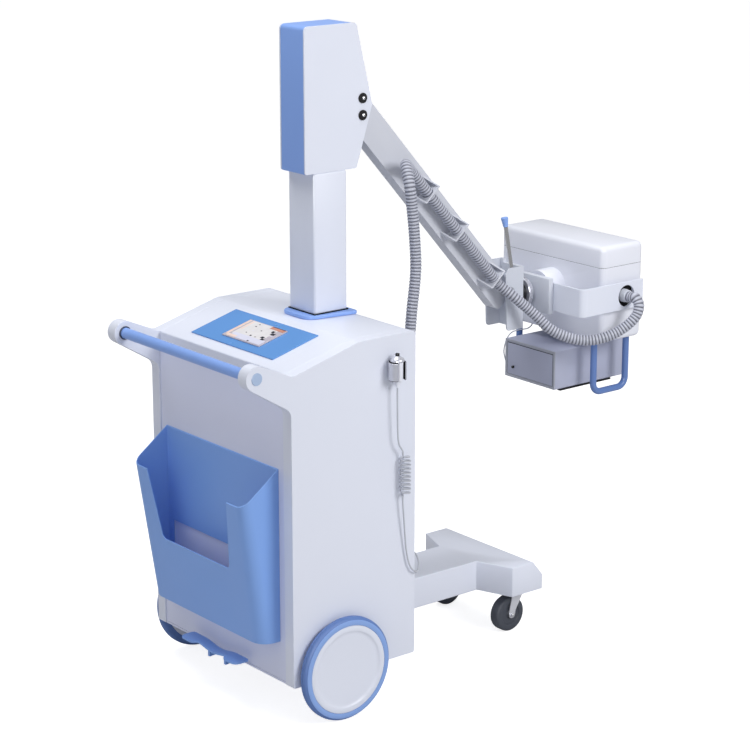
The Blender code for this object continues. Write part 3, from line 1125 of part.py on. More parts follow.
def handset():
    """The hand switch in a holder that is open to the right."""
    wall = -CABINET_HALF - GAP
    height = HOLDER_TOP - HOLDER_BOTTOM
    plan = [(HANDSET_X - HOLDER_RADIUS, wall), *arc((HANDSET_X, HANDSET_Y), HOLDER_RADIUS, 180, 360, 14),
            (HANDSET_X + HOLDER_RADIUS, wall)]
    holder = solid_sheet("handset_holder", plan, height, "XY", (0, 0, HOLDER_BOTTOM + height / 2), "machine",
                         "white_paint")
    bore = rod("holder_bore", HANDSET_RADIUS + GAP, (HANDSET_X, HANDSET_Y, HOLDER_BOTTOM - height), 3 * height, "Z",
               "machine", None, 28, CUTTERS)
    slot = block("holder_slot", (HANDSET_X - HOLDER_SLOT / 2, HANDSET_Y - CUT_LENGTH, HOLDER_BOTTOM - height),
                 (HANDSET_X + HOLDER_SLOT / 2, HANDSET_Y, HOLDER_TOP + height), "machine", None, group=CUTTERS)
    cut(holder, bore, slot)
    shoulder = HOLDER_TOP + GAP
    body = [(0, HANDSET_TOP), (0.0045, HANDSET_TOP), (0.0055, HANDSET_TOP - 0.002), (0.0055, HANDSET_TOP - 0.007),
            (0.0120, HANDSET_TOP - 0.008), (0.0185, HANDSET_TOP - 0.013), (0.0215, HANDSET_TOP - 0.019),
            (0.0215, shoulder), (HANDSET_RADIUS, shoulder), (HANDSET_RADIUS, HOLDER_BOTTOM + 0.004),
            (0.0120, HOLDER_BOTTOM - 0.006), (0.0060, HANDSET_BOTTOM + 0.006), (0.0048, HANDSET_BOTTOM),
            (0, HANDSET_BOTTOM)]
    turned("handset", body, "Z", (HANDSET_X, HANDSET_Y, 0), "machine", "light_grey", 24)


def handset_lead():
    """The hand switch's lead: down to a coiled part, and on to the front panel."""
    x, y = CURL_PLACE
    top = [(HANDSET_X, HANDSET_Y, HANDSET_BOTTOM - GAP), (HANDSET_X + 0.001, HANDSET_Y + 0.001, 0.84),
           (0.3320, -0.3330, 0.78), (0.3500, -0.3290, 0.73), (x, y, 0.70), (x, y, 0.69), (x, y, CURL_TOP + GAP)]
    tail = [(x, y, CURL_BOTTOM - GAP), (x, y, 0.56), (x, y, 0.545), *LEAD_TAIL,
            (CABINET_DEPTH + 0.020, -0.2800, 0.3850), (CABINET_DEPTH + 0.010, -0.2800, 0.3850),
            (CABINET_DEPTH + GAP, -0.2800, 0.3850)]
    tube("handset_lead", smooth_route(top, 0.014), LEAD_RADIUS, "machine", "light_grey")
    tube("handset_tail", smooth_route(tail, 0.014), LEAD_RADIUS, "machine", "light_grey")
    tube("handset_curl", [(x, y, CURL_TOP), (x, y, CURL_BOTTOM)], CURL_RADIUS, "machine", "light_grey", 3)


def build():
    """Make every piece of the machine."""
    clear_scene()
    collection(PARTS)
    collection(CUTTERS)
    for name, parent, place in BODIES:
        empty(name, place, parent)
    for maker in (side_panels, handle_bar, top_deck, cabinet_panels, console, cassette_bin, brake_pedals,
                  main_wheels, leg_frame, casters, column, head, arm, knuckle, lock_lever, yoke, tube_head,
                  collimator, hose, handset, handset_lead):
        maker()


build()
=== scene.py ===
"""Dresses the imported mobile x-ray machine: panels, edges, console, wheels, hose and lead.

Sizes are metres in the machine's own frame, whose x runs forward from the cabinet's rear face,
y to the machine's left and z up from the floor. `at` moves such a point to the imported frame.
"""
from __future__ import annotations

import json
import logging
import math
from dataclasses import dataclass
from enum import Enum
from typing import Sequence

import bmesh
import bpy
from mathutils import Matrix, Vector

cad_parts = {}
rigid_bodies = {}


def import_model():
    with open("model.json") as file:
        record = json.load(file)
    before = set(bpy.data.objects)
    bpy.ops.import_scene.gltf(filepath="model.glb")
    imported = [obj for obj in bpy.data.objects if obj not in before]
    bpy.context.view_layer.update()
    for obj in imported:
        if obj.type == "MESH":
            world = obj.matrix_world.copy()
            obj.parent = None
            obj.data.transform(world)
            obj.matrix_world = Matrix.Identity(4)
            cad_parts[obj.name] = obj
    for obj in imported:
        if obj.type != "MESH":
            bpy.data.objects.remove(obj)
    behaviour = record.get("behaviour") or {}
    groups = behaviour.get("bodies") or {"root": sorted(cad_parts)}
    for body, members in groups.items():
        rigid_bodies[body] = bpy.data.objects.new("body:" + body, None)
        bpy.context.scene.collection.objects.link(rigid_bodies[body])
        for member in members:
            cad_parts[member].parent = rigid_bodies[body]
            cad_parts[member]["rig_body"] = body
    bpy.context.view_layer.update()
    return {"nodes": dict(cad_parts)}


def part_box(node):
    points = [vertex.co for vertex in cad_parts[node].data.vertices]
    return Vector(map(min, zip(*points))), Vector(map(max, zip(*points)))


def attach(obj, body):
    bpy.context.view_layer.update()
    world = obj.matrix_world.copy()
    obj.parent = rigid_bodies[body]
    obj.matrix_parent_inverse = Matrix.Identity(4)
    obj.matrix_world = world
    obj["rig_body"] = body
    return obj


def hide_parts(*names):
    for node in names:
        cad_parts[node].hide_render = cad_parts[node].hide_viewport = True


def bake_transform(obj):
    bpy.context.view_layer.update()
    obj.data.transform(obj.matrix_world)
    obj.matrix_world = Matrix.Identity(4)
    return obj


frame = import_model()
LOG = logging.getLogger("xray_machine")

REAR_FACE_X = -0.62025
MIDDLE_Y = 0.00626
# x and z of the arm's head pin, and the arm's slope at rest
ARM_PIN = (0.433, 1.5636)
ARM_ANGLE = math.radians(-48.1)
# how far an added piece stands off what it seats on
SEAT_GAP = 0.0002
# vertices of a CAD solid, and of a turned shape, that lie closer than this are one
WELD_SOLID = 0.00001
WELD_TURNED = 0.000005
FLAT_ANGLE = math.radians(0.5)
ROUNDING_ANGLE = math.radians(30.0)
ROUNDING_SEGMENTS = 3
# a face whose normal has this much of a direction faces that way
FACING = 0.9
CURVE_STEPS = 24
COAT_ROUGHNESS = 0.12
GRAIN_ROUGHNESS = 0.5
# how much finer the patches of gloss are than those of tone
GLOSS_FINENESS = 3
Point = Sequence[float]
NoiseGroup = tuple[bpy.types.NodeTree, bpy.types.Node, bpy.types.Node, bpy.types.Node]


def at(x: float, y: float, z: float) -> Vector:
    """Moves a point of the machine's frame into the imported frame.

    Args:
        x: distance forward from the cabinet's rear face.
        y: distance to the left of the middle.
        z: height above the floor.

    Returns:
        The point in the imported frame.
    """
    return Vector((x + REAR_FACE_X, y + MIDDLE_Y, z))


# ---- Finishes


class NodeGroups:
    """Shader node groups that several finishes share, each built once."""

    _made: dict[str, bpy.types.NodeTree] = {}

    @classmethod
    def _start(cls, name: str, inputs: Sequence[str], output: str,
               detail: float) -> NoiseGroup:
        """Starts a group about one noise texture in object coordinates.

        Args:
            name: the group's name.
            inputs: the names of its inputs besides Scale.
            output: the name of its output.
            detail: the noise's detail.

        Returns:
            The group, its input node, its noise and its output node.
        """
        tree = cls._made[name] = bpy.data.node_groups.new(name, "ShaderNodeTree")
        for label, way in [*((label, "INPUT") for label in (*inputs, "Scale")),
                           (output, "OUTPUT")]:
            kind = "NodeSocketColor" if label in ("Colour", "Shade") else "NodeSocketFloat"
            tree.interface.new_socket(name=label, in_out=way, socket_type=kind)
        nodes, links = tree.nodes, tree.links
        entry, leave = nodes.new("NodeGroupInput"), nodes.new("NodeGroupOutput")
        place, noise = nodes.new("ShaderNodeTexCoord"), nodes.new("ShaderNodeTexNoise")
        noise.inputs["Detail"].default_value = detail
        links.new(place.outputs["Object"], noise.inputs["Vector"])
        links.new(entry.outputs["Scale"], noise.inputs["Scale"])
        return tree, entry, noise, leave

    @classmethod
    def tone_drift(cls) -> bpy.types.NodeTree:
        """Colour that drifts slowly between its own tone and a slightly darker one."""
        if "tone_drift" in cls._made:
            return cls._made["tone_drift"]
        tree, entry, noise, leave = cls._start("tone_drift", ("Colour", "Shade"), "Colour", 3.0)
        mix = tree.nodes.new("ShaderNodeMix")
        mix.data_type = "RGBA"
        tree.links.new(noise.outputs["Fac"], mix.inputs["Factor"])
        tree.links.new(entry.outputs["Colour"], mix.inputs["A"])
        tree.links.new(entry.outputs["Shade"], mix.inputs["B"])
        tree.links.new(mix.outputs["Result"], leave.inputs["Colour"])
        return tree

    @classmethod
    def fine_grain(cls) -> bpy.types.NodeTree:
        """Height of a fine, even grain, such as orange peel in paint or spark texture."""
        if "fine_grain" in cls._made:
            return cls._made["fine_grain"]
        tree, entry, noise, leave = cls._start("fine_grain", ("Roughness",), "Height", 2.0)
        tree.links.new(entry.outputs["Roughness"], noise.inputs["Roughness"])
        tree.links.new(noise.outputs["Fac"], leave.inputs["Height"])
        return tree

    @classmethod
    def gloss_drift(cls) -> bpy.types.NodeTree:
        """Roughness that varies in soft patches, as a surface wiped down by hand does."""
        if "gloss_drift" in cls._made:
            return cls._made["gloss_drift"]
        tree, entry, noise, leave = cls._start("gloss_drift", ("Low", "High"), "Roughness", 4.0)
        spread = tree.nodes.new("ShaderNodeMapRange")
        spread.inputs["From Min"].default_value = 0.3
        spread.inputs["From Max"].default_value = 0.7
        tree.links.new(noise.outputs["Fac"], spread.inputs["Value"])
        tree.links.new(entry.outputs["Low"], spread.inputs["To Min"])
        tree.links.new(entry.outputs["High"], spread.inputs["To Max"])
        tree.links.new(spread.outputs["Result"], leave.inputs["Roughness"])
        return tree

    @classmethod
    def brushing(cls) -> bpy.types.NodeTree:
        """Height of fine parallel scratches along x."""
        if "brushing" in cls._made:
            return cls._made["brushing"]
        tree, _, noise, leave = cls._start("brushing", (), "Height", 3.0)
        place = noise.inputs["Vector"].links[0].from_socket
        stretch = tree.nodes.new("ShaderNodeMapping")
        stretch.inputs["Scale"].default_value = (0.04, 1.0, 1.0)
        tree.links.new(place, stretch.inputs["Vector"])
        tree.links.new(stretch.outputs["Vector"], noise.inputs["Vector"])
        tree.links.new(noise.outputs["Fac"], leave.inputs["Height"])
        return tree


@dataclass(frozen=True)
class Finish:
    """A surface: its colour and how that drifts, its gloss, and its grain."""

    name: str
    slot: str
    colour: tuple[float, float, float]
    shade: tuple[float, float, float]
    roughness: tuple[float, float]
    metallic: float = 0.0
    coat: float = 0.0
    grain_scale: float = 900.0
    grain_depth: float = 0.00004
    grain_strength: float = 0.15
    drift_scale: float = 2.5
    brushed: bool = False
    specular: float = 0.5

    def material(self) -> bpy.types.Material:
        """Builds the material, or returns the one already built.

        Returns:
            The finish as a Blender material.
        """
        found = bpy.data.materials.get(self.name)
        if found:
            return found
        made = bpy.data.materials.new(self.name)
        made.use_nodes = True
        nodes, links = made.node_tree.nodes, made.node_tree.links
        shader = nodes["Principled BSDF"]
        shader.inputs["Metallic"].default_value = self.metallic
        shader.inputs["Coat Weight"].default_value = self.coat
        shader.inputs["Coat Roughness"].default_value = COAT_ROUGHNESS
        shader.inputs["Specular IOR Level"].default_value = self.specular
        tone = self._group(nodes, NodeGroups.tone_drift())
        tone.inputs["Colour"].default_value = (*self.colour, 1.0)
        tone.inputs["Shade"].default_value = (*self.shade, 1.0)
        tone.inputs["Scale"].default_value = self.drift_scale
        links.new(tone.outputs["Colour"], shader.inputs["Base Color"])
        gloss = self._group(nodes, NodeGroups.gloss_drift())
        gloss.inputs["Low"].default_value = self.roughness[0]
        gloss.inputs["High"].default_value = self.roughness[1]
        gloss.inputs["Scale"].default_value = self.drift_scale * GLOSS_FINENESS
        links.new(gloss.outputs["Roughness"], shader.inputs["Roughness"])
        if self.brushed:
            grain = self._group(nodes, NodeGroups.brushing())
        else:
            grain = self._group(nodes, NodeGroups.fine_grain())
            grain.inputs["Roughness"].default_value = GRAIN_ROUGHNESS
        grain.inputs["Scale"].default_value = self.grain_scale
        bump = nodes.new("ShaderNodeBump")
        bump.inputs["Distance"].default_value = self.grain_depth
        bump.inputs["Strength"].default_value = self.grain_strength
        links.new(grain.outputs["Height"], bump.inputs["Height"])
        links.new(bump.outputs["Normal"], shader.inputs["Normal"])
        self.extend(made, shader, tone)
        return made

    def extend(self, made: bpy.types.Material, shader: bpy.types.Node,
               tone: bpy.types.Node) -> None:
        """Adds what a special finish has beyond the common ones, which is nothing here."""

    @staticmethod
    def _group(nodes: bpy.types.Nodes, tree: bpy.types.NodeTree) -> bpy.types.Node:
        """Places a shared group in a material."""
        node = nodes.new("ShaderNodeGroup")
        node.node_tree = tree
        return node


@dataclass(frozen=True)
class RibbedFinish(Finish):
    """A corrugated hose: its grooves are painted darker than their crests, as painted shade."""

    groove_shade: tuple[float, float, float] = (0.05, 0.05, 0.06)

    def extend(self, made: bpy.types.Material, shader: bpy.types.Node,
               tone: bpy.types.Node) -> None:
        """Darkens the colour in the grooves by the mesh's groove depth, as painted shade.

        Args:
            made: the material.
            shader: its Principled shader.
            tone: the node that gives its colour.
        """
        nodes, links = made.node_tree.nodes, made.node_tree.links
        value = nodes.new("ShaderNodeAttribute")
        value.attribute_name = "groove_shade"
        mix = nodes.new("ShaderNodeMix")
        mix.data_type = "RGBA"
        mix.inputs["B"].default_value = (*self.groove_shade, 1.0)
        links.new(value.outputs["Fac"], mix.inputs["Factor"])
        links.new(tone.outputs["Colour"], mix.inputs["A"])
        links.new(mix.outputs["Result"], shader.inputs["Base Color"])


@dataclass(frozen=True)
class LitFinish(Finish):
    """A lit display surface that glows a little with its own colour."""

    glow: float = 0.5

    def extend(self, made: bpy.types.Material, shader: bpy.types.Node,
               tone: bpy.types.Node) -> None:
        """Adds the glow.

        Args:
            made: the material.
            shader: its Principled shader.
            tone: the node that gives its colour.
        """
        made.node_tree.links.new(tone.outputs["Colour"], shader.inputs["Emission Color"])
        shader.inputs["Emission Strength"].default_value = self.glow


WHITE = Finish("white_enamel", "white_paint", (0.785, 0.815, 0.915), (0.755, 0.790, 0.900),
               (0.34, 0.44), coat=0.10)
SHELL_WHITE = Finish("white_moulding", "white_paint", (0.84, 0.86, 0.94), (0.81, 0.83, 0.92),
                     (0.30, 0.40), coat=0.10, grain_scale=1400.0)
PANEL_GREY = Finish("panel_grey", "grey_paint", (0.74, 0.77, 0.93), (0.70, 0.73, 0.90),
                    (0.40, 0.50))
BOX_GREY = Finish("collimator_grey", "grey_paint", (0.46, 0.485, 0.62), (0.43, 0.455, 0.59),
                  (0.42, 0.55), grain_scale=700.0, grain_depth=0.00008)
# dark grey for the lid's gasket, and painted shade in the collimator's rear recess
GASKET_AND_SHADE_GREY = Finish("gasket_and_painted_shade_grey", "grey_paint", (0.110, 0.115, 0.140), (0.090, 0.095, 0.120),
                     (0.50, 0.60), specular=0.2)
EDGE_GREY = Finish("lip_grey", "grey_paint", (0.44, 0.46, 0.53), (0.41, 0.43, 0.50), (0.36, 0.46))
ARM_GREY = Finish("arm_grey", "light_grey", (0.64, 0.66, 0.73), (0.60, 0.62, 0.69), (0.38, 0.48))
PALE_GREY = Finish("pale_grey", "light_grey", (0.66, 0.69, 0.77), (0.62, 0.65, 0.73), (0.32, 0.42))
BLUE_SHEET = Finish("blue_sheet_enamel", "blue_paint", (0.235, 0.425, 0.870),
                    (0.215, 0.395, 0.830), (0.34, 0.44))
BLUE_SHELL = Finish("blue_moulding", "blue_plastic", (0.255, 0.425, 0.880), (0.235, 0.395, 0.830),
                    (0.28, 0.38), grain_scale=1400.0)
# a darker copy of the blue moulding for the grab handles: painted shade
BLUE_SHELL_SHADED = Finish("blue_moulding_painted_shade", "blue_plastic", (0.130, 0.230, 0.530),
                   (0.115, 0.205, 0.490), (0.26, 0.36), grain_scale=1400.0)
BLUE_LABEL = Finish("console_blue", "blue_paint", (0.110, 0.310, 0.700), (0.100, 0.285, 0.660),
                    (0.22, 0.30))
BLUE_TYRE = Finish("tyre_blue", "blue_plastic", (0.120, 0.225, 0.540), (0.105, 0.200, 0.490),
                   (0.44, 0.56), grain_scale=1100.0, grain_depth=0.00010)
# a lighter copy of the tyre's blue: painted light on the tyre's wall
BLUE_TYRE_LIT = Finish("tyre_blue_painted_light", "blue_plastic", (0.260, 0.420, 0.810), (0.240, 0.390, 0.770),
                   (0.34, 0.44), grain_scale=1100.0)
NAVY = Finish("navy_enamel", "dark_blue", (0.030, 0.050, 0.120), (0.025, 0.040, 0.100),
              (0.35, 0.45))
BLACK = Finish("black_moulding", "black_plastic", (0.008, 0.008, 0.010), (0.014, 0.014, 0.016),
               (0.30, 0.42), grain_scale=1500.0, grain_depth=0.00008, specular=0.3)
CASTER_RUBBER = Finish("caster_rubber", "rubber", (0.062, 0.070, 0.092), (0.050, 0.057, 0.076),
                       (0.48, 0.62), grain_scale=800.0, grain_depth=0.00015)
STEEL = Finish("brushed_steel", "steel", (0.56, 0.57, 0.59), (0.50, 0.51, 0.53), (0.26, 0.36),
               metallic=1.0, grain_scale=1800.0, brushed=True)
ZINC = Finish("zinc_plate", "steel", (0.74, 0.75, 0.80), (0.66, 0.67, 0.72), (0.30, 0.42),
              metallic=0.55, grain_scale=500.0)
CHROME = Finish("polished_chrome", "chrome", (0.80, 0.80, 0.82), (0.76, 0.76, 0.78), (0.06, 0.12),
                metallic=1.0, grain_strength=0.03)
# its groove colour is painted shade that darkens the hose's grooves
HOSE = RibbedFinish("ribbed_hose", "hose_grey", (0.56, 0.58, 0.67), (0.51, 0.53, 0.62),
                    (0.40, 0.50), groove_shade=(0.100, 0.105, 0.140))
LEAD = Finish("lead_sheath", "light_grey", (0.55, 0.57, 0.63), (0.50, 0.52, 0.58), (0.35, 0.45))
PALE_BLUE = Finish("pale_blue_moulding", "blue_plastic", (0.44, 0.55, 0.76), (0.40, 0.52, 0.73),
                   (0.28, 0.38), grain_scale=1400.0)
SILVER = Finish("silver_moulding", "light_grey", (0.66, 0.67, 0.74), (0.61, 0.62, 0.69),
                (0.20, 0.30), metallic=0.5, grain_scale=1600.0)
# black for the column's gasket, and painted shade inside the switch holder and in the strap's bore
SEAL_AND_SHADE = Finish("rubber_seal_and_painted_shade", "black_plastic", (0.006, 0.006, 0.008), (0.010, 0.010, 0.012),
              (0.60, 0.75), grain_scale=900.0, grain_depth=0.00010, specular=0.1)
SCREEN = LitFinish("screen_glass", "screen", (0.50, 0.47, 0.52), (0.40, 0.36, 0.42), (0.05, 0.10),
                   glow=0.15, drift_scale=30.0)
SCREEN_WARM = LitFinish("screen_warm", "screen", (0.42, 0.15, 0.10), (0.60, 0.30, 0.22),
                        (0.05, 0.10), glow=0.15, drift_scale=40.0)
SCREEN_TAN = LitFinish("screen_tan", "screen", (0.66, 0.44, 0.36), (0.80, 0.68, 0.62),
                       (0.05, 0.10), glow=0.20, drift_scale=60.0)
SCREEN_DARK = LitFinish("screen_dark", "screen", (0.010, 0.011, 0.022), (0.05, 0.05, 0.08),
                        (0.05, 0.10), glow=0.05)
SCREEN_LILAC = LitFinish("screen_lilac", "screen", (0.52, 0.53, 0.66), (0.66, 0.66, 0.76),
                         (0.05, 0.10), glow=0.20, drift_scale=30.0)
SCREEN_PALE = LitFinish("screen_pale", "screen", (0.74, 0.73, 0.74), (0.58, 0.56, 0.57),
                        (0.05, 0.10), glow=0.16, drift_scale=30.0)


# ---- Making pieces


class Axis(Enum):
    """The directions that turned and round pieces stand along, as a turn from +Z."""

    X = Matrix.Rotation(math.pi / 2, 4, "Y")
    X_BACK = Matrix.Rotation(-math.pi / 2, 4, "Y")
    Y = Matrix.Rotation(-math.pi / 2, 4, "X")
    Y_BACK = Matrix.Rotation(math.pi / 2, 4, "X")
    Z = Matrix.Identity(4)


class Bench:
    """Turns bmesh shapes into finished pieces that ride on the machine's bodies."""

    @staticmethod
    def piece(name: str, bm: bmesh.types.BMesh, finish: Finish, body: str,
              replaces: Sequence[str] = (), smooth: float = 35.0) -> bpy.types.Object:
        """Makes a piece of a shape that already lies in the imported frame.

        Args:
            name: the piece's name.
            bm: its shape, which is freed.
            finish: its surface.
            body: the body that it moves with.
            replaces: CAD nodes that it stands for.
            smooth: the angle in degrees above which an edge stays sharp.

        Returns:
            The piece.
        """
        mesh = bpy.data.meshes.new(name)
        bm.to_mesh(mesh)
        bm.free()
        made = bpy.data.objects.new(name, mesh)
        bpy.context.scene.collection.objects.link(made)
        mesh.materials.append(finish.material())
        mesh.shade_smooth()
        mesh.set_sharp_from_angle(angle=math.radians(smooth))
        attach(made, body)
        if replaces:
            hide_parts(*replaces)
        LOG.info("made %s", name)
        return made

    @staticmethod
    def softened(node: str, finish: Finish, width: float) -> bpy.types.Object:
        """Stands a piece with rounded edges in for a CAD node.

        Args:
            node: the CAD node's name.
            finish: the piece's surface.
            width: how wide the rounding of each edge is.

        Returns:
            The piece.
        """
        bm = bmesh.new()
        bm.from_mesh(frame["nodes"][node].data)
        bmesh.ops.remove_doubles(bm, verts=bm.verts, dist=WELD_SOLID)
        bmesh.ops.dissolve_limit(bm, angle_limit=FLAT_ANGLE, verts=bm.verts, edges=bm.edges)
        made = Bench.piece(f"{node}_shell", bm, finish, frame["nodes"][node]["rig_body"], [node])
        rounding = made.modifiers.new("rounding", "BEVEL")
        rounding.width = width
        rounding.segments = ROUNDING_SEGMENTS
        rounding.limit_method = "ANGLE"
        rounding.angle_limit = ROUNDING_ANGLE
        rounding.harden_normals = True
        return made

    @staticmethod
    def dress(node: str, finish: Finish) -> None:
        """Gives a CAD node that stays in view its finish.

        Args:
            node: the node's name.
            finish: its surface.
        """
        mesh = frame["nodes"][node].data
        mesh.materials.clear()
        mesh.materials.append(finish.material())
        LOG.info("dressed %s", node)


class Shapes:
    """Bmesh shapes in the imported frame, each made by operators."""

    @staticmethod
    def box(low: Point, high: Point, edge: float = 0.0, segments: int = 3) -> bmesh.types.BMesh:
        """A box between two corners of the machine's frame.

        Args:
            low: its lowest corner.
            high: its highest corner.
            edge: how wide its edges are rounded.
            segments: faces across the rounding.

        Returns:
            The shape.
        """
        low_corner, high_corner = Vector(low), Vector(high)
        size, middle = high_corner - low_corner, (low_corner + high_corner) / 2
        bm = bmesh.new()
        bmesh.ops.create_cube(bm, size=1.0, matrix=Matrix.Diagonal((*size, 1.0)))
        if edge:
            bmesh.ops.bevel(bm, geom=bm.edges[:], offset=edge, offset_type="OFFSET",
                            segments=segments, profile=0.5, affect="EDGES", material=-1)
        bmesh.ops.translate(bm, vec=at(*middle), verts=bm.verts)
        return bm

    @staticmethod
    def frame(low: Point, high: Point, wall: float) -> bmesh.types.BMesh:
        """An upright box without its core, open at the top and bottom.

        Args:
            low: its lowest corner.
            high: its highest corner.
            wall: how thick its walls are.

        Returns:
            The shape.
        """
        bm = Shapes.box(low, high)
        ends = [face for face in bm.faces if abs(face.normal.z) > FACING]
        bmesh.ops.inset_individual(bm, faces=ends, thickness=wall, depth=0.0)
        bmesh.ops.delete(bm, geom=ends, context="FACES_ONLY")
        rims = [edge for edge in bm.edges if edge.is_boundary]
        bmesh.ops.bridge_loops(bm, edges=rims)
        return bm

    @staticmethod
    def opened(bm: bmesh.types.BMesh, centre: Point, start: float,
               end: float) -> bmesh.types.BMesh:
        """Takes a sector out of an upright ring and closes its two ends.

        Args:
            bm: the ring.
            centre: a point on its axis.
            start: the angle where the gap starts, in degrees from +X.
            end: the angle where the gap ends.

        Returns:
            The same shape.
        """
        middle = at(*centre)
        gone = []
        for face in bm.faces:
            spot = face.calc_center_median() - middle
            if start < math.degrees(math.atan2(spot.y, spot.x)) < end:
                gone.append(face)
        bmesh.ops.delete(bm, geom=gone, context="FACES")
        bmesh.ops.holes_fill(bm, edges=[edge for edge in bm.edges if edge.is_boundary], sides=0)
        return bm

    @staticmethod
    def spun(profile: Sequence[tuple[float, float]], axis: Axis, centre: Point,
             steps: int = 64) -> bmesh.types.BMesh:
        """A turned shape.

        Args:
            profile: (radius, height) points along its outline.
            axis: the direction that its heights run along.
            centre: the point of the machine's frame at radius and height zero.
            steps: faces round it.

        Returns:
            The shape.
        """
        bm = bmesh.new()
        verts = [bm.verts.new((radius, 0.0, height)) for radius, height in profile]
        edges = [bm.edges.new(pair) for pair in zip(verts, verts[1:])]
        bmesh.ops.spin(bm, geom=verts + edges, cent=(0, 0, 0), axis=(0, 0, 1), angle=2 * math.pi,
                       steps=steps, use_merge=True)
        bmesh.ops.remove_doubles(bm, verts=bm.verts, dist=WELD_TURNED)
        bmesh.ops.recalc_face_normals(bm, faces=bm.faces)
        bmesh.ops.transform(bm, matrix=Matrix.Translation(at(*centre)) @ axis.value,
                            verts=bm.verts)
        return bm

    @staticmethod
    def swept(path: Sequence[Vector], radii: Sequence[float],
              sides: int = 20) -> bmesh.types.BMesh:
        """A round tube along a path, with its ends closed.

        Args:
            path: the points of its centreline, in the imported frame.
            radii: its radius at each point.
            sides: faces round it.

        Returns:
            The shape, with each vertex's place along the path kept in the layer named ring.
        """
        bm = bmesh.new()
        ring_of = bm.verts.layers.int.new("ring")
        tangents = [(path[min(i + 1, len(path) - 1)] - path[max(i - 1, 0)]).normalized()
                    for i in range(len(path))]
        side = tangents[0].orthogonal().normalized()
        turn = Matrix((side, tangents[0].cross(side), tangents[0])).transposed()
        first = bmesh.ops.create_circle(bm, cap_ends=True, radius=1.0, segments=sides)["verts"]
        loop = [edge for edge in bm.edges if edge.is_boundary] or bm.edges[:]
        spokes = [vert.co.copy() for vert in first]
        current, ring = loop, first
        for index, (point, radius, tangent) in enumerate(zip(path, radii, tangents)):
            if index:
                twist = tangents[index - 1].rotation_difference(tangent).to_matrix()
                turn = twist @ turn
                grown = bmesh.ops.extrude_edge_only(bm, edges=current)["geom"]
                current = [item for item in grown if isinstance(item, bmesh.types.BMEdge)]
                fresh = [item for item in grown if isinstance(item, bmesh.types.BMVert)]
                ring = Shapes._matched(ring, fresh)
            for vert, spoke in zip(ring, spokes):
                vert.co = point + turn @ (spoke * radius)
                vert[ring_of] = index
        bmesh.ops.holes_fill(bm, edges=current, sides=0)
        bmesh.ops.recalc_face_normals(bm, faces=bm.faces)
        return bm

    @staticmethod
    def _matched(ring: Sequence[bmesh.types.BMVert],
                 fresh: Sequence[bmesh.types.BMVert]) -> list[bmesh.types.BMVert]:
        """The new ring's vertices in the order of the old ring's."""
        new = set(fresh)
        return [next(edge.other_vert(vert)
                     for edge in vert.link_edges if edge.other_vert(vert) in new) for vert in ring]


def smooth_route(points: Sequence[Point], spacing: float) -> list[Vector]:
    """Reads points at even steps from a smooth curve through a route.

    Args:
        points: the route's points in the machine's frame.
        spacing: the distance between the points that are read.

    Returns:
        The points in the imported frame.
    """
    route = [at(*point) for point in points]
    ends = [route[0] * 2 - route[1], *route, route[-1] * 2 - route[-2]]
    fine = []
    for a, b, c, d in zip(ends, ends[1:], ends[2:], ends[3:]):
        for i in range(CURVE_STEPS):
            t = i / CURVE_STEPS
            fine.append(0.5 * ((2 * b) + (c - a) * t + (2 * a - 5 * b + 4 * c - d) * t * t
                               + (3 * b - a - 3 * c + d) * t ** 3))
    fine.append(route[-1])
    length = sum((q - p).length for p, q in zip(fine, fine[1:]))
    count = max(2, round(length / spacing))
    even, walked = [fine[0]], 0.0
    for p, q in zip(fine, fine[1:]):
        step = (q - p).length
        while len(even) < count and walked + step >= length / count * len(even):
            even.append(p + (q - p) * ((length / count * len(even) - walked) / step))
        walked += step
    return [*even, fine[-1]]


def path_length(path: Sequence[Vector]) -> float:
    """The length of a path along its points."""
    return sum((q - p).length for p, q in zip(path, path[1:]))


# ---- Sub-assemblies


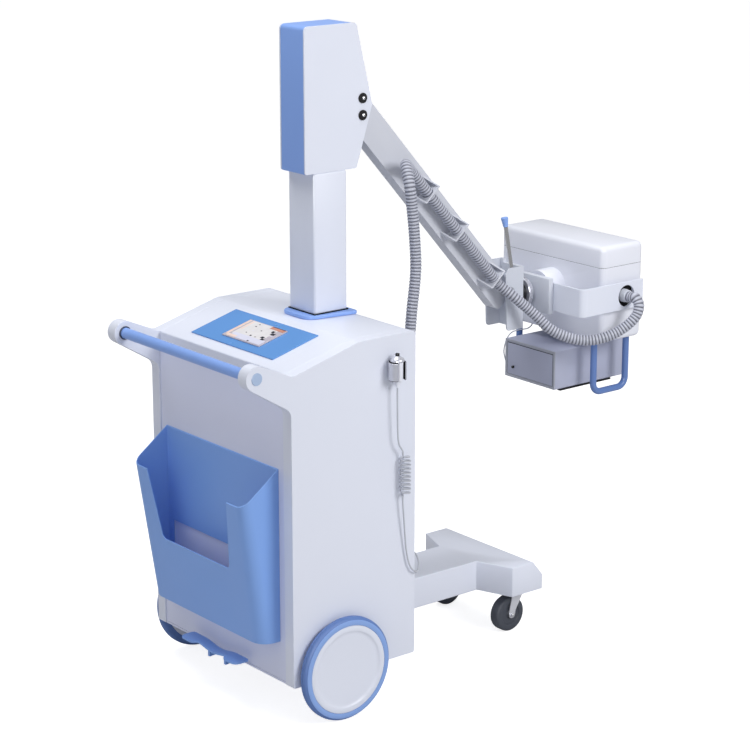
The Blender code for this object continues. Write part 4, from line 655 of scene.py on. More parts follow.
@dataclass
class Cabinet:
    """The cabinet's panels, the push handle and the bin on its rear."""

    half_width: float = 0.312
    handle_x: float = -0.1035
    handle_z: float = 0.956
    bar_radius: float = 0.0145
    disc_radius: float = 0.016
    side_thickness: float = 0.035
    screw_inset: float = 0.052
    screw_heights: tuple[float, float, float] = (0.24, 0.58, 0.90)

    def build(self) -> None:
        """Dresses the panels and makes the handle and the front panel's screws."""
        for node, finish, width in (
                # node, finish, how wide its edges are rounded
                ("side_panel_left", WHITE, 0.005), ("side_panel_right", WHITE, 0.005),
                ("top_deck", WHITE, 0.0015), ("front_panel", WHITE, 0.0012),
                ("rear_panel", PANEL_GREY, 0.0012), ("cassette_bin", BLUE_SHEET, 0.0009),
                ("column_plate", BLUE_SHELL, 0.003), ("brake_pedals", BLUE_SHEET, 0.0012)):
            Bench.softened(node, finish, width)
        for node, finish in (("base_tray", PANEL_GREY), ("generator", PANEL_GREY)):
            Bench.dress(node, finish)
        self._handle()
        self._screws()

    def _handle(self) -> None:
        """Makes the round bar, with a pale disc in each lobe and a dark washer behind it."""
        reach, r, end = self.half_width - 0.002, self.bar_radius, self.disc_radius
        bar = [(0, 2 * reach), (r - 0.001, 2 * reach), (r, 2 * reach - 0.001), (r, 0.001),
               (r - 0.001, 0), (0, 0)]
        Bench.piece("push_bar",
                    Shapes.spun(bar, Axis.Y, (self.handle_x, -reach, self.handle_z), 48),
                    BLUE_SHELL, "machine", ["handle_bar"])
        disc = [(0, 0.0016), (end - 0.0012, 0.0016), (end, 0.0006), (end, 0.0), (0, 0.0)]
        washer = [(r + SEAT_GAP, 0.0), (r + 0.0034, 0.0), (r + 0.0034, 0.0026),
                  (r + 0.0026, 0.0034), (r + SEAT_GAP, 0.0034), (r + SEAT_GAP, 0.0)]
        inner = self.half_width - self.side_thickness - SEAT_GAP
        for name, side, axis, back in (("left", 1, Axis.Y, Axis.Y_BACK),
                                       ("right", -1, Axis.Y_BACK, Axis.Y)):
            place = (self.handle_x, side * (self.half_width + SEAT_GAP), self.handle_z)
            Bench.piece(f"lobe_disc_{name}", Shapes.spun(disc, axis, place, 40), PALE_BLUE,
                        "machine")
            place = (self.handle_x, side * inner, self.handle_z)
            Bench.piece(f"bar_washer_{name}", Shapes.spun(washer, back, place, 40), NAVY,
                        "machine")

    def _screws(self) -> None:
        """Makes the countersunk screws that hold the front panel."""
        head = [(0.0012, 0.0006), (0.0012, 0.0014), (0.0040, 0.0014), (0.0052, 0.0008),
                (0.0055, 0.0), (0.0, 0.0), (0.0, 0.0006), (0.0012, 0.0006)]
        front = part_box("front_panel")[1][0] - REAR_FACE_X + SEAT_GAP
        for row, z in enumerate(self.screw_heights, 1):
            for name, side in (("left", 1), ("right", -1)):
                place = (front, side * (self.half_width - self.screw_inset), z)
                Bench.piece(f"panel_screw_{row}_{name}", Shapes.spun(head, Axis.X, place, 24),
                            ZINC, "machine")


@dataclass
class Console:
    """The blue label and the touch screen on the sloping deck."""

    foot: tuple[float, float] = (0.006, 0.943)
    edge: tuple[float, float] = (0.215, 0.999)
    tile_thickness: float = 0.0003
    tile_lift: float = 0.0018
    layer_step: float = 0.00015

    def build(self) -> None:
        """Dresses the label and lays out the screen's plain tiles."""
        Bench.softened("console_panel", BLUE_LABEL, 0.0008)
        Bench.softened("touch_screen", SCREEN, 0.0006)
        low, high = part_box("touch_screen")
        middle = (Vector(low) + Vector(high)) / 2
        rise = math.atan2(self.edge[1] - self.foot[1], self.edge[0] - self.foot[0])
        turn = Matrix.Rotation(-rise, 4, "Y")
        tiles = (
            # along the slope, across, half length, half width, layer, finish
            (0.0080, 0.0020, 0.0370, 0.0600, 0, SCREEN_PALE),
            (-0.0330, -0.0100, 0.0110, 0.0660, 1, SCREEN_LILAC),
            (0.0040, 0.0730, 0.0410, 0.0045, 1, SCREEN_TAN),
            (0.0200, 0.0560, 0.0240, 0.0030, 1, SCREEN_TAN),
            (0.0405, -0.0500, 0.0065, 0.0290, 1, SCREEN_WARM),
            (0.0455, -0.0500, 0.0011, 0.0260, 2, SCREEN_DARK),
            (0.0245, -0.0500, 0.0042, 0.0060, 2, SCREEN_DARK),
            (0.0150, -0.0600, 0.0045, 0.0080, 2, SCREEN_DARK),
            (0.0050, -0.0660, 0.0025, 0.0040, 2, SCREEN_LILAC),
            (-0.0100, -0.0480, 0.0040, 0.0065, 2, SCREEN_DARK),
            (-0.0180, -0.0570, 0.0038, 0.0060, 2, SCREEN_DARK),
            (-0.0100, 0.0230, 0.0014, 0.0022, 2, SCREEN_DARK),
            (-0.0168, -0.0050, 0.0022, 0.0034, 2, SCREEN_DARK),
            (0.0250, 0.0260, 0.0016, 0.0028, 2, SCREEN_DARK),
            (0.0370, 0.0250, 0.0014, 0.0024, 2, SCREEN_DARK),
            (0.0146, -0.0110, 0.0014, 0.0022, 2, SCREEN_DARK),
            (-0.0410, -0.0240, 0.0022, 0.0034, 2, SCREEN_DARK),
            (-0.0173, -0.0250, 0.0014, 0.0022, 2, SCREEN_DARK),
            (0.0050, 0.0120, 0.0012, 0.0018, 2, SCREEN_LILAC),
            (-0.0400, 0.0500, 0.0050, 0.0200, 2, SCREEN_TAN))
        for index, (along, across, half_length, half_width, layer, finish) in enumerate(tiles, 1):
            bm = bmesh.new()
            shape = Matrix.Diagonal((2 * half_length, 2 * half_width, self.tile_thickness, 1))
            bmesh.ops.create_cube(bm, size=1.0, matrix=shape)
            bmesh.ops.translate(bm, vec=(along, across, self.tile_lift + self.layer_step * layer),
                                verts=bm.verts)
            bmesh.ops.transform(bm, matrix=Matrix.Translation(middle) @ turn, verts=bm.verts)
            Bench.piece(f"screen_tile_{index}", bm, finish, "machine")


@dataclass
class MainWheels:
    """The two large wheels and the axle between them."""

    x: float = 0.152
    radius: float = 0.140
    middle_y: float = 0.331
    half: float = 0.013
    section: float = 0.021

    def build(self) -> None:
        """Makes each tyre, its wall paler as painted light, and its hub, and dresses the axle."""
        Bench.dress("main_axle", STEEL)
        r, rim, half = self.radius, self.radius - self.section, self.half
        tyre = [(rim, half), (rim + 0.002, half + 0.0008), (rim + 0.010, half + 0.0008),
                (r - 0.007, half - 0.0005), (r - 0.003, half - 0.003), (r - 0.0008, half - 0.006),
                (r, half - 0.009), (r, 0.0015), (r - 0.0012, 0.0006), (r - 0.0012, -0.0006),
                (r, -0.0015), (r, 0.009 - half), (r - 0.0008, 0.006 - half),
                (r - 0.003, 0.003 - half), (r - 0.007, 0.0005 - half), (rim + 0.002, -half),
                (rim, -half), (rim, half)]
        wall = [(rim + 0.0004, half - 0.0010), (rim + 0.0004, half + 0.0010),
                (rim + 0.0020, half + 0.0018), (r - 0.0100, half + 0.0018),
                (r - 0.0068, half + 0.0006), (r - 0.0068, half - 0.0010),
                (rim + 0.0004, half - 0.0010)]
        hub = [(0, half - 0.0030), (rim - 0.0250, half - 0.0028), (rim - 0.0195, half - 0.0020),
               (rim - 0.0170, half - 0.0004), (rim - 0.0155, half + 0.0010),
               (rim - 0.0135, half + 0.0018), (rim - 0.0030, half + 0.0020),
               (rim - 0.0003, half + 0.0008), (rim - 0.0003, -half), (rim - 0.012, -half),
               (rim - 0.020, 0.006 - half), (0.030, 0.006 - half), (0.026, -half), (0.0123, -half),
               (0.0123, half - 0.012), (0, half - 0.012)]
        for name, side, axis in (("left", 1, Axis.Y), ("right", -1, Axis.Y_BACK)):
            centre = (self.x, side * self.middle_y, self.radius)
            Bench.piece(f"tyre_{name}", Shapes.spun(tyre, axis, centre, 128), BLUE_TYRE,
                        f"wheel_{name}", [f"main_tyre_{name}"])
            # the wall's paler blue is painted light
            Bench.piece(f"tyre_wall_{name}", Shapes.spun(wall, axis, centre, 128), BLUE_TYRE_LIT,
                        f"wheel_{name}")
            Bench.piece(f"hub_{name}", Shapes.spun(hub, axis, centre, 128), WHITE, f"wheel_{name}",
                        [f"main_hub_{name}"])


@dataclass
class Legs:
    """The leg beam with its cross foot, and the two casters."""

    caster_x: float = 0.918
    caster_y: float = 0.134
    trail: float = 0.024
    radius: float = 0.051
    half: float = 0.017
    fork_half: float = 0.026

    def build(self) -> None:
        """Dresses the frame and makes the caster wheels."""
        Bench.softened("leg_frame", WHITE, 0.003)
        for name, side in (("left", 1), ("right", -1)):
            self._caster(name, side)

    def _caster(self, name: str, side: int) -> None:
        """Makes one caster.

        Args:
            name: which side it is on.
            side: +1 on the left and -1 on the right.
        """
        y = side * self.caster_y
        Bench.softened(f"caster_plate_{name}", BLACK, 0.0008)
        Bench.softened(f"caster_fork_{name}", ZINC, 0.0006)
        r, half = self.radius, self.half
        tread = [(0.0305, half - 0.0035), (0.0325, half - 0.0005), (0.0350, half),
                 (r - 0.007, half), (r - 0.003, half - 0.0012), (r - 0.0008, half - 0.0035),
                 (r, half - 0.0065), (r, 0.0065 - half), (r - 0.0008, 0.0035 - half),
                 (r - 0.003, 0.0012 - half), (r - 0.007, -half), (0.0350, -half),
                 (0.0325, 0.0005 - half), (0.0305, 0.0035 - half), (0.0140, 0.0035 - half),
                 (0.0125, 0.0008 - half), (0.0115, -half), (0.0053, 0.001 - half),
                 (0.0053, half - 0.001), (0.0115, half), (0.0125, half - 0.0008),
                 (0.0140, half - 0.0035), (0.0305, half - 0.0035)]
        centre = (self.caster_x - self.trail, y, r)
        Bench.piece(f"caster_tyre_{name}", Shapes.spun(tread, Axis.Y, centre, 72), CASTER_RUBBER,
                    f"caster_wheel_{name}", [f"front_wheel_{name}"])
        nut = [(0, 0.0030), (0.0040, 0.0030), (0.0055, 0.0018), (0.0055, 0), (0, 0)]
        for tag, way, axis in (("a", 1, Axis.Y), ("b", -1, Axis.Y_BACK)):
            place = (centre[0], y + way * (self.fork_half + SEAT_GAP), r)
            Bench.piece(f"axle_nut_{name}_{tag}", Shapes.spun(nut, axis, place, 24), STEEL,
                        f"caster_{name}")


@dataclass
class Column:
    """The column, the head on top of it and the arm's pins."""

    pin: tuple[float, float] = ARM_PIN
    drop: float = 0.0443
    half: float = 0.053
    rear: float = 0.271
    front: float = 0.379
    post_half: float = 0.055
    # how far each chrome bolt sits off its pin's centre, so that it stands in for the black pin's
    # glint as a painted highlight
    glint_shift: float = 0.0030
    bolt_stand: float = 0.0028
    gasket_wall: float = 0.0022

    def build(self) -> None:
        """Dresses the column and head, and makes the pins' bolts and the gasket at the foot."""
        Bench.softened("column", WHITE, 0.003)
        Bench.softened("head_housing", WHITE, 0.0016)
        Bench.softened("head_cover", BLUE_SHELL, 0.0012)
        Bench.dress("head_pin", BLACK)
        for node in ("link_pin_left", "link_pin_right"):
            Bench.dress(node, BLACK)
        cap = [(0, 0.0022), (0.0022, 0.0020), (0.0040, 0.0012), (0.0048, 0), (0, 0)]
        for name, side, axis in (("left", 1, Axis.Y), ("right", -1, Axis.Y_BACK)):
            for tag, z in (("upper", self.pin[1]), ("lower", self.pin[1] - self.drop)):
                # each chrome bolt, set off centre, is a painted highlight on its black pin
                place = (self.pin[0] + self.glint_shift, side * (self.half + self.bolt_stand), z)
                Bench.piece(f"bolt_{tag}_{name}", Shapes.spun(cap, axis, place, 32), CHROME,
                            "machine")
        foot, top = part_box("column")[0][2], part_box("column_plate")[1][2]
        wall = self.gasket_wall
        Bench.piece("column_gasket",
                    Shapes.frame((self.rear - wall, -self.post_half - wall, top + 0.0001),
                                 (self.front + wall, self.post_half + wall, foot + 0.0026),
                                 wall - SEAT_GAP), SEAL_AND_SHADE, "machine")


@dataclass
class Arm:
    """The balanced arm with the clips that carry the hose."""

    def build(self) -> None:
        """Dresses the beam and its clips."""
        Bench.softened("arm_beam", ARM_GREY, 0.0012)


@dataclass
class Knuckle:
    """The joint piece at the arm's end, with the lever that locks it."""

    front: float = 1.018
    turn_height: float = 0.947
    neck_radius: float = 0.030
    disc_radius: float = 0.043

    def build(self) -> None:
        """Dresses the knuckle, makes the neck in painted shade and the flange the yoke turns on.
        """
        Bench.softened("knuckle_cheeks", PALE_GREY, 0.0010)
        Bench.dress("knuckle_pin", STEEL)
        Bench.softened("lock_lever", CHROME, 0.0012)
        Bench.softened("lever_grip", BLUE_SHELL, 0.0010)
        # the neck is black as painted shade in the gap between the cheeks and the flange
        neck = [(0, 0.0270), (self.neck_radius, 0.0270), (self.neck_radius, 0.0), (0, 0)]
        Bench.piece("turn_neck_painted_shade",
                    Shapes.spun(neck, Axis.X, (self.front + 0.0003, 0, self.turn_height), 48),
                    BLACK, "knuckle")
        r = self.disc_radius
        disc = [(0, 0.0140), (r - 0.0015, 0.0140), (r, 0.0125), (r, 0.0085), (r - 0.0012, 0.0078),
                (r - 0.0012, 0.0066), (r, 0.0059), (r, 0.0015), (r - 0.0015, 0.0), (0, 0.0)]
        Bench.piece("turn_flange",
                    Shapes.spun(disc, Axis.X, (self.front + 0.0277, 0, self.turn_height), 72),
                    SILVER, "knuckle", ["turn_disc"])


@dataclass
class Yoke:
    """The plate and the bent strap that hold the tube head."""

    def build(self) -> None:
        """Dresses the plate and strap."""
        Bench.softened("yoke_plate", PALE_GREY, 0.0012)
        Bench.softened("yoke_strap", WHITE, 0.0010)


@dataclass
class TubeHead:
    """The tube housing with its lid and grab handles, and the collimator below it."""

    grab_y: float = 0.157
    grab_rear: float = 1.192
    grab_front: float = 1.319
    grab_bottom: float = 0.6575
    grab_bend: float = 0.028
    grab_radius: float = 0.0095
    underside: float = 0.812
    right_end: float = -0.200
    left_end: float = 0.222
    shell_rear: float = 1.1745
    shell_front: float = 1.336
    shell_corner: float = 0.016
    seam: float = 1.030
    seam_half: float = 0.0014
    trunnion: tuple[float, float] = (1.2560, 0.944)
    box_rear: float = 1.092
    box_half: float = 0.105
    box_low: float = 0.671
    box_high: float = 0.784
    cable_radius: float = 0.0018
    knob_y: float = 0.069
    knob_z: float = 0.704

    def build(self) -> None:
        """Dresses the housing and collimator, and makes the handles, fitting and small parts."""
        for node in ("tube_housing", "tube_lid"):
            Bench.softened(node, SHELL_WHITE, 0.0013)
        Bench.softened("trunnion_knob", BLACK, 0.0006)
        fitting = [(0, 0.0), (0.0190, 0.0), (0.0190, 0.0130), (0.0176, 0.0150), (0.0176, 0.0236),
                   (0.0166, 0.0246), (0, 0.0246)]
        Bench.piece("fitting_sleeve",
                    Shapes.spun(fitting, Axis.Y_BACK,
                                (self.trunnion[0], self.right_end - 0.0005, self.trunnion[1]), 56),
                    PALE_GREY, "tube", ["hose_fitting"])
        Bench.softened("collimator", BOX_GREY, 0.0010)
        Bench.softened("collimator_flange", NAVY, 0.0010)
        Bench.softened("collimator_window", BLACK, 0.0008)
        for name, side in (("left", 1), ("right", -1)):
            self._grab(name, side * self.grab_y)
            edge = side * (self.box_half - 0.0055)
            low = (self.box_rear + 0.020, edge - 0.0058, self.box_low - 0.0056)
            high = (self.box_rear + 0.222, edge + 0.0058, self.box_low - SEAT_GAP)
            Bench.piece(f"window_rail_{name}", Shapes.box(low, high, 0.0008), BLACK, "tube")
        self._cable()
        self._seam()
        self._bore_shade()
        self._rear_plate()

    def _bore_shade(self) -> None:
        """Makes the black ring about the hose's fitting, painted shade in the strap's bore."""
        ring = [(0.0194, 0.0), (0.0194, 0.0050), (0.0215, 0.0060), (0.0330, 0.0060),
                (0.0345, 0.0045), (0.0345, 0.0), (0.0194, 0.0)]
        Bench.piece("fitting_bore_shade",
                    Shapes.spun(ring, Axis.Y_BACK,
                                (self.trunnion[0], self.right_end - SEAT_GAP, self.trunnion[1]),
                                56), SEAL_AND_SHADE, "tube")

    def _rear_plate(self) -> None:
        """Makes the collimator's rear frame, with painted shade, plate and knob in its recess."""
        bm = Shapes.box((self.box_rear - 0.0030, -self.box_half + 0.0006, self.box_low + 0.0006),
                        (self.box_rear - SEAT_GAP, self.box_half - 0.0006, self.box_high - 0.0006))
        back = [face for face in bm.faces if face.normal.x < -FACING]
        bmesh.ops.inset_region(bm, faces=back, thickness=0.0080, depth=0.0)
        bmesh.ops.inset_region(bm, faces=back, thickness=0.0006, depth=-0.0018)
        frame_piece = Bench.piece("collimator_rear_frame", bm, EDGE_GREY, "tube")
        rounding = frame_piece.modifiers.new("rounding", "BEVEL")
        rounding.width = 0.0005
        rounding.segments = 2
        rounding.limit_method = "ANGLE"
        near, far = self.box_rear - 0.0022, self.box_rear - 0.0010
        side, low, high = self.box_half - 0.0092, self.box_low + 0.0092, self.box_high - 0.0092
        # the dark sheet that shows round the plate, widest at its top, is painted shade under the
        # frame's lip
        Bench.piece("collimator_recess_painted_shade",
                    Shapes.box((near + 0.0004, -side, low), (far, side, high)), GASKET_AND_SHADE_GREY,
                    "tube")
        Bench.piece("collimator_rear_plate",
                    Shapes.box((near, -side + 0.0012, low + 0.0006),
                               (far, side - 0.0012, high - 0.0022), 0.0004, 2), BOX_GREY, "tube")
        knob = [(0, 0.0060), (0.0028, 0.0060), (0.0036, 0.0052), (0.0038, 0.0), (0, 0)]
        Bench.piece("collimator_knob",
                    Shapes.spun(knob, Axis.X_BACK,
                                (self.box_rear - 0.0023, self.knob_y, self.knob_z), 28), BLACK,
                    "tube")

    def _seam(self) -> None:
        """Makes the dark gasket between the housing and its lid."""
        inset = 0.0005
        bm = Shapes.box((self.shell_rear + inset, self.right_end + inset,
                         self.seam - self.seam_half),
                        (self.shell_front - inset, self.left_end - inset,
                         self.seam + self.seam_half))
        upright = [edge for edge in bm.edges
                   if abs(edge.verts[0].co.z - edge.verts[1].co.z) > self.seam_half]
        bmesh.ops.bevel(bm, geom=upright, offset=self.shell_corner - inset, offset_type="OFFSET",
                        segments=8, profile=0.5, affect="EDGES", material=-1)
        Bench.piece("lid_gasket", bm, GASKET_AND_SHADE_GREY, "tube")

    def _cable(self) -> None:
        """Makes the thin cable from the housing's underside to the collimator's left side."""
        path = smooth_route([(1.1900, 0.1010, self.underside - SEAT_GAP), (1.1885, 0.1020, 0.8060),
                             (1.1760, 0.1050, 0.7985), (1.1500, 0.1090, 0.7975),
                             (1.1200, 0.1120, 0.7940), (1.1000, 0.1125, 0.7750),
                             (1.0910, 0.1128, 0.7450), (1.0950, 0.1128, 0.7230),
                             (1.1020, 0.1128, 0.7060), (1.1060, 0.1118, 0.6990),
                             (1.1085, 0.1080, 0.6955), (1.1090, 0.1053, 0.6950)], 0.004)
        made = Bench.piece("collimator_cable",
                           Shapes.swept(path, [self.cable_radius] * len(path), 12), LEAD, "tube",
                           (), 80)

    def _grab(self, name: str, y: float) -> None:
        """Makes one grab handle.

        Args:
            name: which side it is on.
            y: how far to the left of the middle it lies.
        """
        top, bend, low = self.underside - 0.0003, self.grab_bend, self.grab_bottom
        corners = [(self.grab_rear + bend, 180.0), (self.grab_front - bend, 270.0)]
        points = [(self.grab_rear, top), (self.grab_rear, top - 0.04),
                  (self.grab_rear, low + bend + 0.02)]
        for x, start in corners:
            points += [(x + bend * math.cos(math.radians(start + 90 * i / 8)),
                        low + bend + bend * math.sin(math.radians(start + 90 * i / 8)))
                       for i in range(9)]
        points += [(self.grab_front, low + bend + 0.02), (self.grab_front, top - 0.04),
                   (self.grab_front, top)]
        path = [at(x, y, z) for x, z in points]
        # the handle's darker blue is painted shade
        Bench.piece(f"grab_loop_{name}", Shapes.swept(path, [self.grab_radius] * len(path), 24),
                    BLUE_SHELL_SHADED, "tube", [f"grab_handle_{name}"], 60)


def arm_point(along: float, across: float) -> tuple[float, float]:
    """A point (x, z) of the machine's frame on the arm at rest.

    Args:
        along: distance along the arm from its head pin.
        across: distance above the line between its pins.

    Returns:
        The point's x and z.
    """
    return (ARM_PIN[0] + along * math.cos(ARM_ANGLE) - across * math.sin(ARM_ANGLE),
            ARM_PIN[1] + along * math.sin(ARM_ANGLE) + across * math.cos(ARM_ANGLE))


@dataclass
class Hose:
    """The corrugated hose from the cabinet along the arm to the tube head."""

    radius: float = 0.0155
    groove_depth: float = 0.0018
    pitch: float = 0.0091
    offset: float = 0.045
    middle: float = -0.01479
    rings_per_pitch: int = 8
    groove_sharpness: float = 1.7
    first_clip: float = 0.364
    on_knuckle: tuple[float, float, float] = (0.988, -0.090, 0.928)

    def route(self) -> list[Point]:
        """The hose's points in the machine's frame, from the cabinet's gland to the tube head.

        Returns:
            The points.
        """
        distances = (0.315, self.first_clip, 0.450, 0.523, 0.650, 0.725, 0.745)
        run = [self._on_arm(along) for along in distances]
        return [
            (0.4149, -0.130, 0.800), (0.430, -0.130, 0.800), (0.450, -0.130, 0.804),
            (0.500, -0.130, 0.838), (0.528, -0.130, 0.910), (0.539, -0.130, 1.000),
            (0.551, -0.130, 1.100), (0.547, -0.130, 1.190), (0.538, -0.130, 1.270),
            (0.530, -0.128, 1.335), (0.548, -0.092, 1.379), (0.590, -0.053, 1.362), *run,
            (0.9370, -0.0570, 0.9800), (0.957, -0.074, 0.9585), self.on_knuckle,
            (1.014, -0.112, 0.8975), (1.034, -0.134, 0.8700), (1.064, -0.160, 0.8480),
            (1.106, -0.192, 0.8340), (1.150, -0.222, 0.8370), (1.202, -0.247, 0.8570),
            (1.241, -0.267, 0.8920), (1.255, -0.268, 0.9240), (1.2560, -0.254, 0.9440),
            (1.2560, -0.240, 0.9440), (1.2560, -0.2264, 0.9440)]

    def build(self) -> None:
        """Makes the three stretches, which meet where the arm and the knuckle hold them."""
        Bench.softened("hose_gland", BLACK, 0.0006)
        path = smooth_route(self.route(), self.pitch / self.rings_per_pitch)
        first = self._nearest(path, at(*self._on_arm(self.first_clip)))
        second = self._nearest(path, at(*self.on_knuckle))
        cuts = (
            # name, first point, last point, replaced nodes, bodies, where the bend starts and ends
            ("hose_lower", 0, first, ["hose_lift"], ("machine", "arm"), (0.53, -0.13, 1.02),
             (0.55, -0.10, 1.37)),
            ("hose_upper", first, second, ["hose_arm"], ("arm", "knuckle"),
             (0.9166, -0.045, 1.002), (0.975, -0.083, 0.94)),
            ("hose_loop", second, len(path) - 1, ["hose_knuckle", "hose_yoke"],
             ("knuckle", "yoke"), (1.014, -0.112, 0.8975), (1.064, -0.160, 0.848)))
        for name, low, high, nodes, bodies, start, end in cuts:
            self._stretch(name, path[low:high + 1], low, nodes)

    def _on_arm(self, along: float) -> tuple[float, float, float]:
        """The hose's middle at a distance along the arm."""
        x, z = arm_point(along, self.middle)
        return (x, -self.offset, z)

    @staticmethod
    def _nearest(path: Sequence[Vector], point: Vector) -> int:
        """The index of the path's point that lies closest to another."""
        return min(range(len(path)), key=lambda i: (path[i] - point).length)

    def _stretch(self, name: str, path: list[Vector], offset: int, nodes: Sequence[str]) -> None:
        """Makes one stretch of hose.

        Args:
            name: the stretch's name.
            path: its centreline.
            offset: how many rings of the whole hose come before it.
            nodes: the CAD nodes that it stands for.
        """
        waves = [0.5 - 0.5 * math.cos(2 * math.pi * (offset + i) / self.rings_per_pitch)
                 for i in range(len(path))]
        depths = [wave ** self.groove_sharpness for wave in waves]
        radii = [self.radius - self.groove_depth * depth for depth in depths]
        bm = Shapes.swept(path, radii, 24)
        ring_of = bm.verts.layers.int["ring"]
        # each vertex's depth into a groove, which the hose's finish turns into painted shade
        groove_shade = bm.verts.layers.float.new("groove_shade")
        for vert in bm.verts:
            vert[groove_shade] = depths[vert[ring_of]]
        mesh = bpy.data.meshes.new(name)
        bm.to_mesh(mesh)
        bm.free()
        made = bpy.data.objects.new(name, mesh)
        bpy.context.scene.collection.objects.link(made)
        mesh.materials.append(HOSE.material())
        mesh.shade_smooth()
        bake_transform(made)
        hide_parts(*nodes)
        LOG.info("made %s, %.3f m", name, path_length(path))


@dataclass
class HandSwitch:
    """The hand switch in its holder, and the lead with its coiled middle."""

    x: float = 0.320
    y: float = -0.3358
    top: float = 0.957
    shoulder: float = 0.9343
    holder_low: float = 0.888
    bottom: float = 0.866
    radius: float = 0.0200
    lip_radius: float = 0.0019
    lead_radius: float = 0.0022
    coil_radius: float = 0.0132
    coil_x: float = 0.3535
    coil_y: float = -0.3283
    coil_top: float = 0.677
    coil_bottom: float = 0.569
    turns: int = 10
    coil_entry: float = 0.0082
    front_face: float = 0.400
    gland_y: float = -0.2800
    gland_z: float = 0.3850
    # the clip's opening, in degrees from +X
    opening: tuple[float, float] = (-126.0, -46.0)

    def build(self) -> None:
        """Makes the clip, lip and painted shade, the switch, its dome and button, and the lead."""
        r, top, low, rise = self.radius, self.top, self.holder_low, self.shoulder
        place = (self.x, self.y, 0)
        clip = [(0.0206, low), (0.0229, low), (0.0235, low + 0.0006), (0.0235, rise - 0.0012),
                (0.0229, rise - 0.0006), (0.0206, rise - 0.0006), (0.0206, low)]
        Bench.piece("holder_clip",
                    Shapes.opened(Shapes.spun(clip, Axis.Z, place, 72), place, *self.opening),
                    SILVER, "machine", ["handset_holder"])
        lip = [(0, low + 0.0004), (self.lip_radius, low + 0.0004),
               (self.lip_radius, rise - 0.0010), (0, rise - 0.0010)]
        Bench.piece("holder_lip",
                    Shapes.spun(lip, Axis.Z, (self.x - 0.0129, self.y - 0.0207, 0), 24), SILVER,
                    "machine")
        # a black ring inside the clip that reaches just below it: painted shade in the clip and a
        # painted shadow under its bottom edge
        shade_ring = [(0.0186, low - 0.0014), (0.0220, low - 0.0014), (0.0220, low - SEAT_GAP),
                 (0.0204, low - SEAT_GAP), (0.0204, rise - 0.0004), (0.0214, rise - 0.0004),
                 (0.0214, rise + 0.0010), (0.0186, rise + 0.0010), (0.0186, low - 0.0014)]
        Bench.piece("holder_painted_shade",
                    Shapes.opened(Shapes.spun(shade_ring, Axis.Z, place, 72), place, *self.opening),
                    SEAL_AND_SHADE, "machine")
        body = [(0, rise + 0.0012), (r - 0.0022, rise + 0.0012), (r - 0.0015, rise + 0.0020),
                (r - 0.0018, rise + 0.0050), (r - 0.0040, rise + 0.0085),
                (r - 0.0078, rise + 0.0118), (r - 0.0110, rise + 0.0140),
                (r - 0.0128, rise + 0.0154), (0, rise + 0.0156)]
        Bench.piece("switch_dome", Shapes.spun(body, Axis.Z, place, 64), SILVER, "machine")
        grip = [(0, rise + 0.0010), (0.0140, rise + 0.0010), (0.0148, rise - 0.0010),
                (0.0148, low + 0.0020), (0.0135, low - 0.0010), (0.0100, low - 0.0060),
                (0.0076, low - 0.0085), (0.0074, low - 0.0105), (0.0062, low - 0.0108),
                (0.0060, low - 0.0128), (0.0068, low - 0.0131), (0.0064, low - 0.0151),
                (0.0054, low - 0.0154), (0.0052, low - 0.0174), (0.0058, low - 0.0177),
                (0.0054, low - 0.0197), (0.0044, low - 0.0200), (0.0038, self.bottom),
                (0, self.bottom)]
        Bench.piece("switch_body", Shapes.spun(grip, Axis.Z, place, 64), SHELL_WHITE, "machine",
                    ["handset"])
        button = [(0, top - 0.0073), (0.0056, top - 0.0073), (0.0056, top - 0.0016),
                  (0.0048, top - 0.0004), (0.0034, top), (0, top)]
        Bench.piece("switch_button", Shapes.spun(button, Axis.Z, place, 40), BLACK, "machine")
        gland = [(self.lead_radius + SEAT_GAP, 0.0), (0.0080, 0.0), (0.0080, 0.0030),
                 (0.0062, 0.0042), (0.0040, 0.0130), (self.lead_radius + SEAT_GAP, 0.0136),
                 (self.lead_radius + SEAT_GAP, 0.0)]
        Bench.piece("lead_gland",
                    Shapes.spun(gland, Axis.X,
                                (self.front_face + SEAT_GAP, self.gland_y, self.gland_z), 36),
                    BLACK, "machine")
        self._lead()

    def _lead(self) -> None:
        """Makes the lead: straight, coiled, straight, and round to its gland."""
        path = smooth_route([(self.x, self.y, self.bottom - SEAT_GAP),
                             (self.x + 0.0005, self.y + 0.0005, 0.840), (0.3220, -0.3345, 0.780),
                             (0.3250, -0.3330, 0.730), (0.3310, -0.3310, 0.709),
                             (0.3400, -0.3290, 0.697),
                             (self.coil_x - self.coil_entry, self.coil_y, 0.687),
                             (self.coil_x - self.coil_entry, self.coil_y, 0.682)], 0.006)
        # points in a turn, and how the coil widens from its share of the radius at both ends
        per_turn, rate, least = 20, 5, 0.62
        count = self.turns * per_turn
        for i in range(count + 1):
            share = i / count
            angle = math.pi + 2 * math.pi * self.turns * share
            ease = min(1.0, rate * share + least, rate * (1 - share) + least)
            path.append(at(self.coil_x + ease * self.coil_radius * math.cos(angle),
                           self.coil_y + ease * self.coil_radius * math.sin(angle),
                           self.coil_top + (self.coil_bottom - self.coil_top) * share))
        path += smooth_route([(self.coil_x - self.coil_entry, self.coil_y, 0.562),
                              (self.coil_x - 0.0070, -0.3274, 0.545), (0.3520, -0.3255, 0.500),
                              (0.3630, -0.3205, 0.420), (0.3750, -0.3205, 0.370),
                              (0.3930, -0.3210, 0.347), (0.4080, -0.3160, 0.346),
                              (0.4220, -0.3020, 0.360), (0.4270, -0.2860, 0.377),
                              (0.4200, self.gland_y, self.gland_z),
                              (0.4100, self.gland_y, self.gland_z),
                              (self.front_face + 0.0003, self.gland_y, self.gland_z)], 0.006)
        bm = Shapes.swept(path, [self.lead_radius] * len(path), 12)
        made = Bench.piece("switch_lead", bm, LEAD, "machine",
                           ["handset_lead", "handset_curl", "handset_tail"], 80)


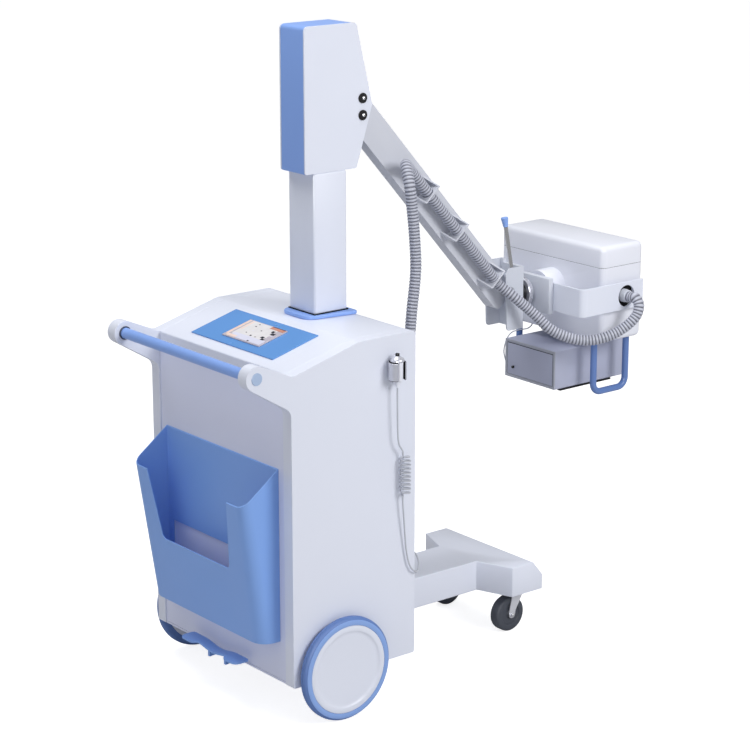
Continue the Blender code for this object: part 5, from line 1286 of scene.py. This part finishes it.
@dataclass
class Studio:
    """The floor, the lamps and the camera at the photograph's angle.

    The sheen lamp shows in glossy reflections only.
    """

    camera_place: tuple[float, float, float] = (-3.2124, -4.6308, 2.4349)
    azimuth: float = -38.8477
    elevation: float = 15.4361
    lens: float = 108.80
    aim_height: float = 0.8
    floor_glow: float = 0.80
    surround_light: float = 0.335
    surround_seen: float = 1.10

    def build(self) -> None:
        """Sets the stage."""
        self._camera()
        self._floor()
        self._world()
        for name, place, size, power, colour in (
                # name, place, side in metres, power in watts, colour
                ("key", (1.6, -4.2, 3.2), 2.0, 130.0, (1.0, 0.995, 0.99)),
                ("top", (-0.4, 0.4, 4.6), 3.0, 101.0, (1.0, 1.0, 1.0)),
                ("fill", (-4.5, -0.8, 2.2), 3.0, 23.0, (0.90, 0.93, 1.0))):
            self._lamp(name, at(*place), size, power, colour)
        sheen = self._lamp("sheen", at(-3.0, -4.0, 2.6), 1.8, 230.0, (1.0, 1.0, 1.0))
        sheen.visible_diffuse = False
        bpy.context.scene.view_settings.view_transform = "Standard"

    def _camera(self) -> None:
        """Places the camera."""
        a, e = math.radians(self.azimuth), math.radians(self.elevation)
        back = Vector((math.sin(a) * math.cos(e), -math.cos(a) * math.cos(e), math.sin(e)))
        data = bpy.data.cameras.new("camera")
        data.lens = self.lens
        data.sensor_width = 36.0
        data.clip_end = 60.0
        camera = bpy.data.objects.new("camera", data)
        camera.location = at(*self.camera_place)
        camera.rotation_mode = "QUATERNION"
        camera.rotation_quaternion = (-back).to_track_quat("-Z", "Y")
        bpy.context.scene.collection.objects.link(camera)
        bpy.context.scene.camera = camera

    def _floor(self) -> None:
        """Lays the pale floor, which looks near white with the machine's shadow on it."""
        bm = bmesh.new()
        bmesh.ops.create_grid(bm, x_segments=1, y_segments=1, size=20.0)
        mesh = bpy.data.meshes.new("floor")
        bm.to_mesh(mesh)
        bm.free()
        floor = bpy.data.objects.new("floor", mesh)
        floor.location = (0, 0, -0.0005)
        bpy.context.scene.collection.objects.link(floor)
        made = bpy.data.materials.new("studio_floor")
        made.use_nodes = True
        nodes, links = made.node_tree.nodes, made.node_tree.links
        shader = nodes["Principled BSDF"]
        shader.inputs["Base Color"].default_value = (0.62, 0.62, 0.63, 1)
        shader.inputs["Roughness"].default_value = 0.9
        shader.inputs["Specular IOR Level"].default_value = 0.1
        shader.inputs["Emission Color"].default_value = (1, 1, 1, 1)
        light_path = nodes.new("ShaderNodeLightPath")
        share = nodes.new("ShaderNodeMath")
        share.operation = "MULTIPLY"
        share.inputs[1].default_value = self.floor_glow
        links.new(light_path.outputs["Is Camera Ray"], share.inputs[0])
        links.new(share.outputs[0], shader.inputs["Emission Strength"])
        mesh.materials.append(made)

    def _world(self) -> None:
        """Makes the soft surround, which is plain white where the camera sees it."""
        world = bpy.data.worlds.new("studio")
        world.use_nodes = True
        nodes, links = world.node_tree.nodes, world.node_tree.links
        ground = nodes["Background"]
        ground.inputs["Color"].default_value = (0.97, 0.98, 1.0, 1)
        light_path = nodes.new("ShaderNodeLightPath")
        seen = nodes.new("ShaderNodeMath")
        seen.operation = "MAXIMUM"
        links.new(light_path.outputs["Is Camera Ray"], seen.inputs[0])
        links.new(light_path.outputs["Is Transmission Ray"], seen.inputs[1])
        strength = nodes.new("ShaderNodeMapRange")
        strength.inputs["To Min"].default_value = self.surround_light
        strength.inputs["To Max"].default_value = self.surround_seen
        links.new(seen.outputs[0], strength.inputs["Value"])
        links.new(strength.outputs["Result"], ground.inputs["Strength"])
        bpy.context.scene.world = world

    def _lamp(self, name: str, place: Vector, size: float, power: float,
              colour: Point) -> bpy.types.Object:
        """Hangs a soft lamp that faces the machine.

        Args:
            name: the lamp's name.
            place: where it hangs.
            size: the side of its square face.
            power: its power in watts.
            colour: its colour.

        Returns:
            The lamp.
        """
        data = bpy.data.lights.new(name, "AREA")
        data.size = size
        data.energy = power
        data.color = colour
        lamp = bpy.data.objects.new(name, data)
        lamp.location = place
        lamp.rotation_mode = "QUATERNION"
        aim = Vector((0, 0, self.aim_height)) - place
        lamp.rotation_quaternion = aim.to_track_quat("-Z", "Y")
        bpy.context.scene.collection.objects.link(lamp)
        return lamp


def main() -> None:
    """Builds the studio and then each sub-assembly, from the floor up."""
    logging.basicConfig(level=logging.INFO, format="%(message)s")
    Studio().build()
    for assembly in (Hose(), HandSwitch(), Cabinet(), Console(), MainWheels(), Legs(), Column(),
                     Arm(), Knuckle(), Yoke(), TubeHead()):
        assembly.build()
        LOG.info("built %s", type(assembly).__name__)


if __name__ == "__main__":
    main()
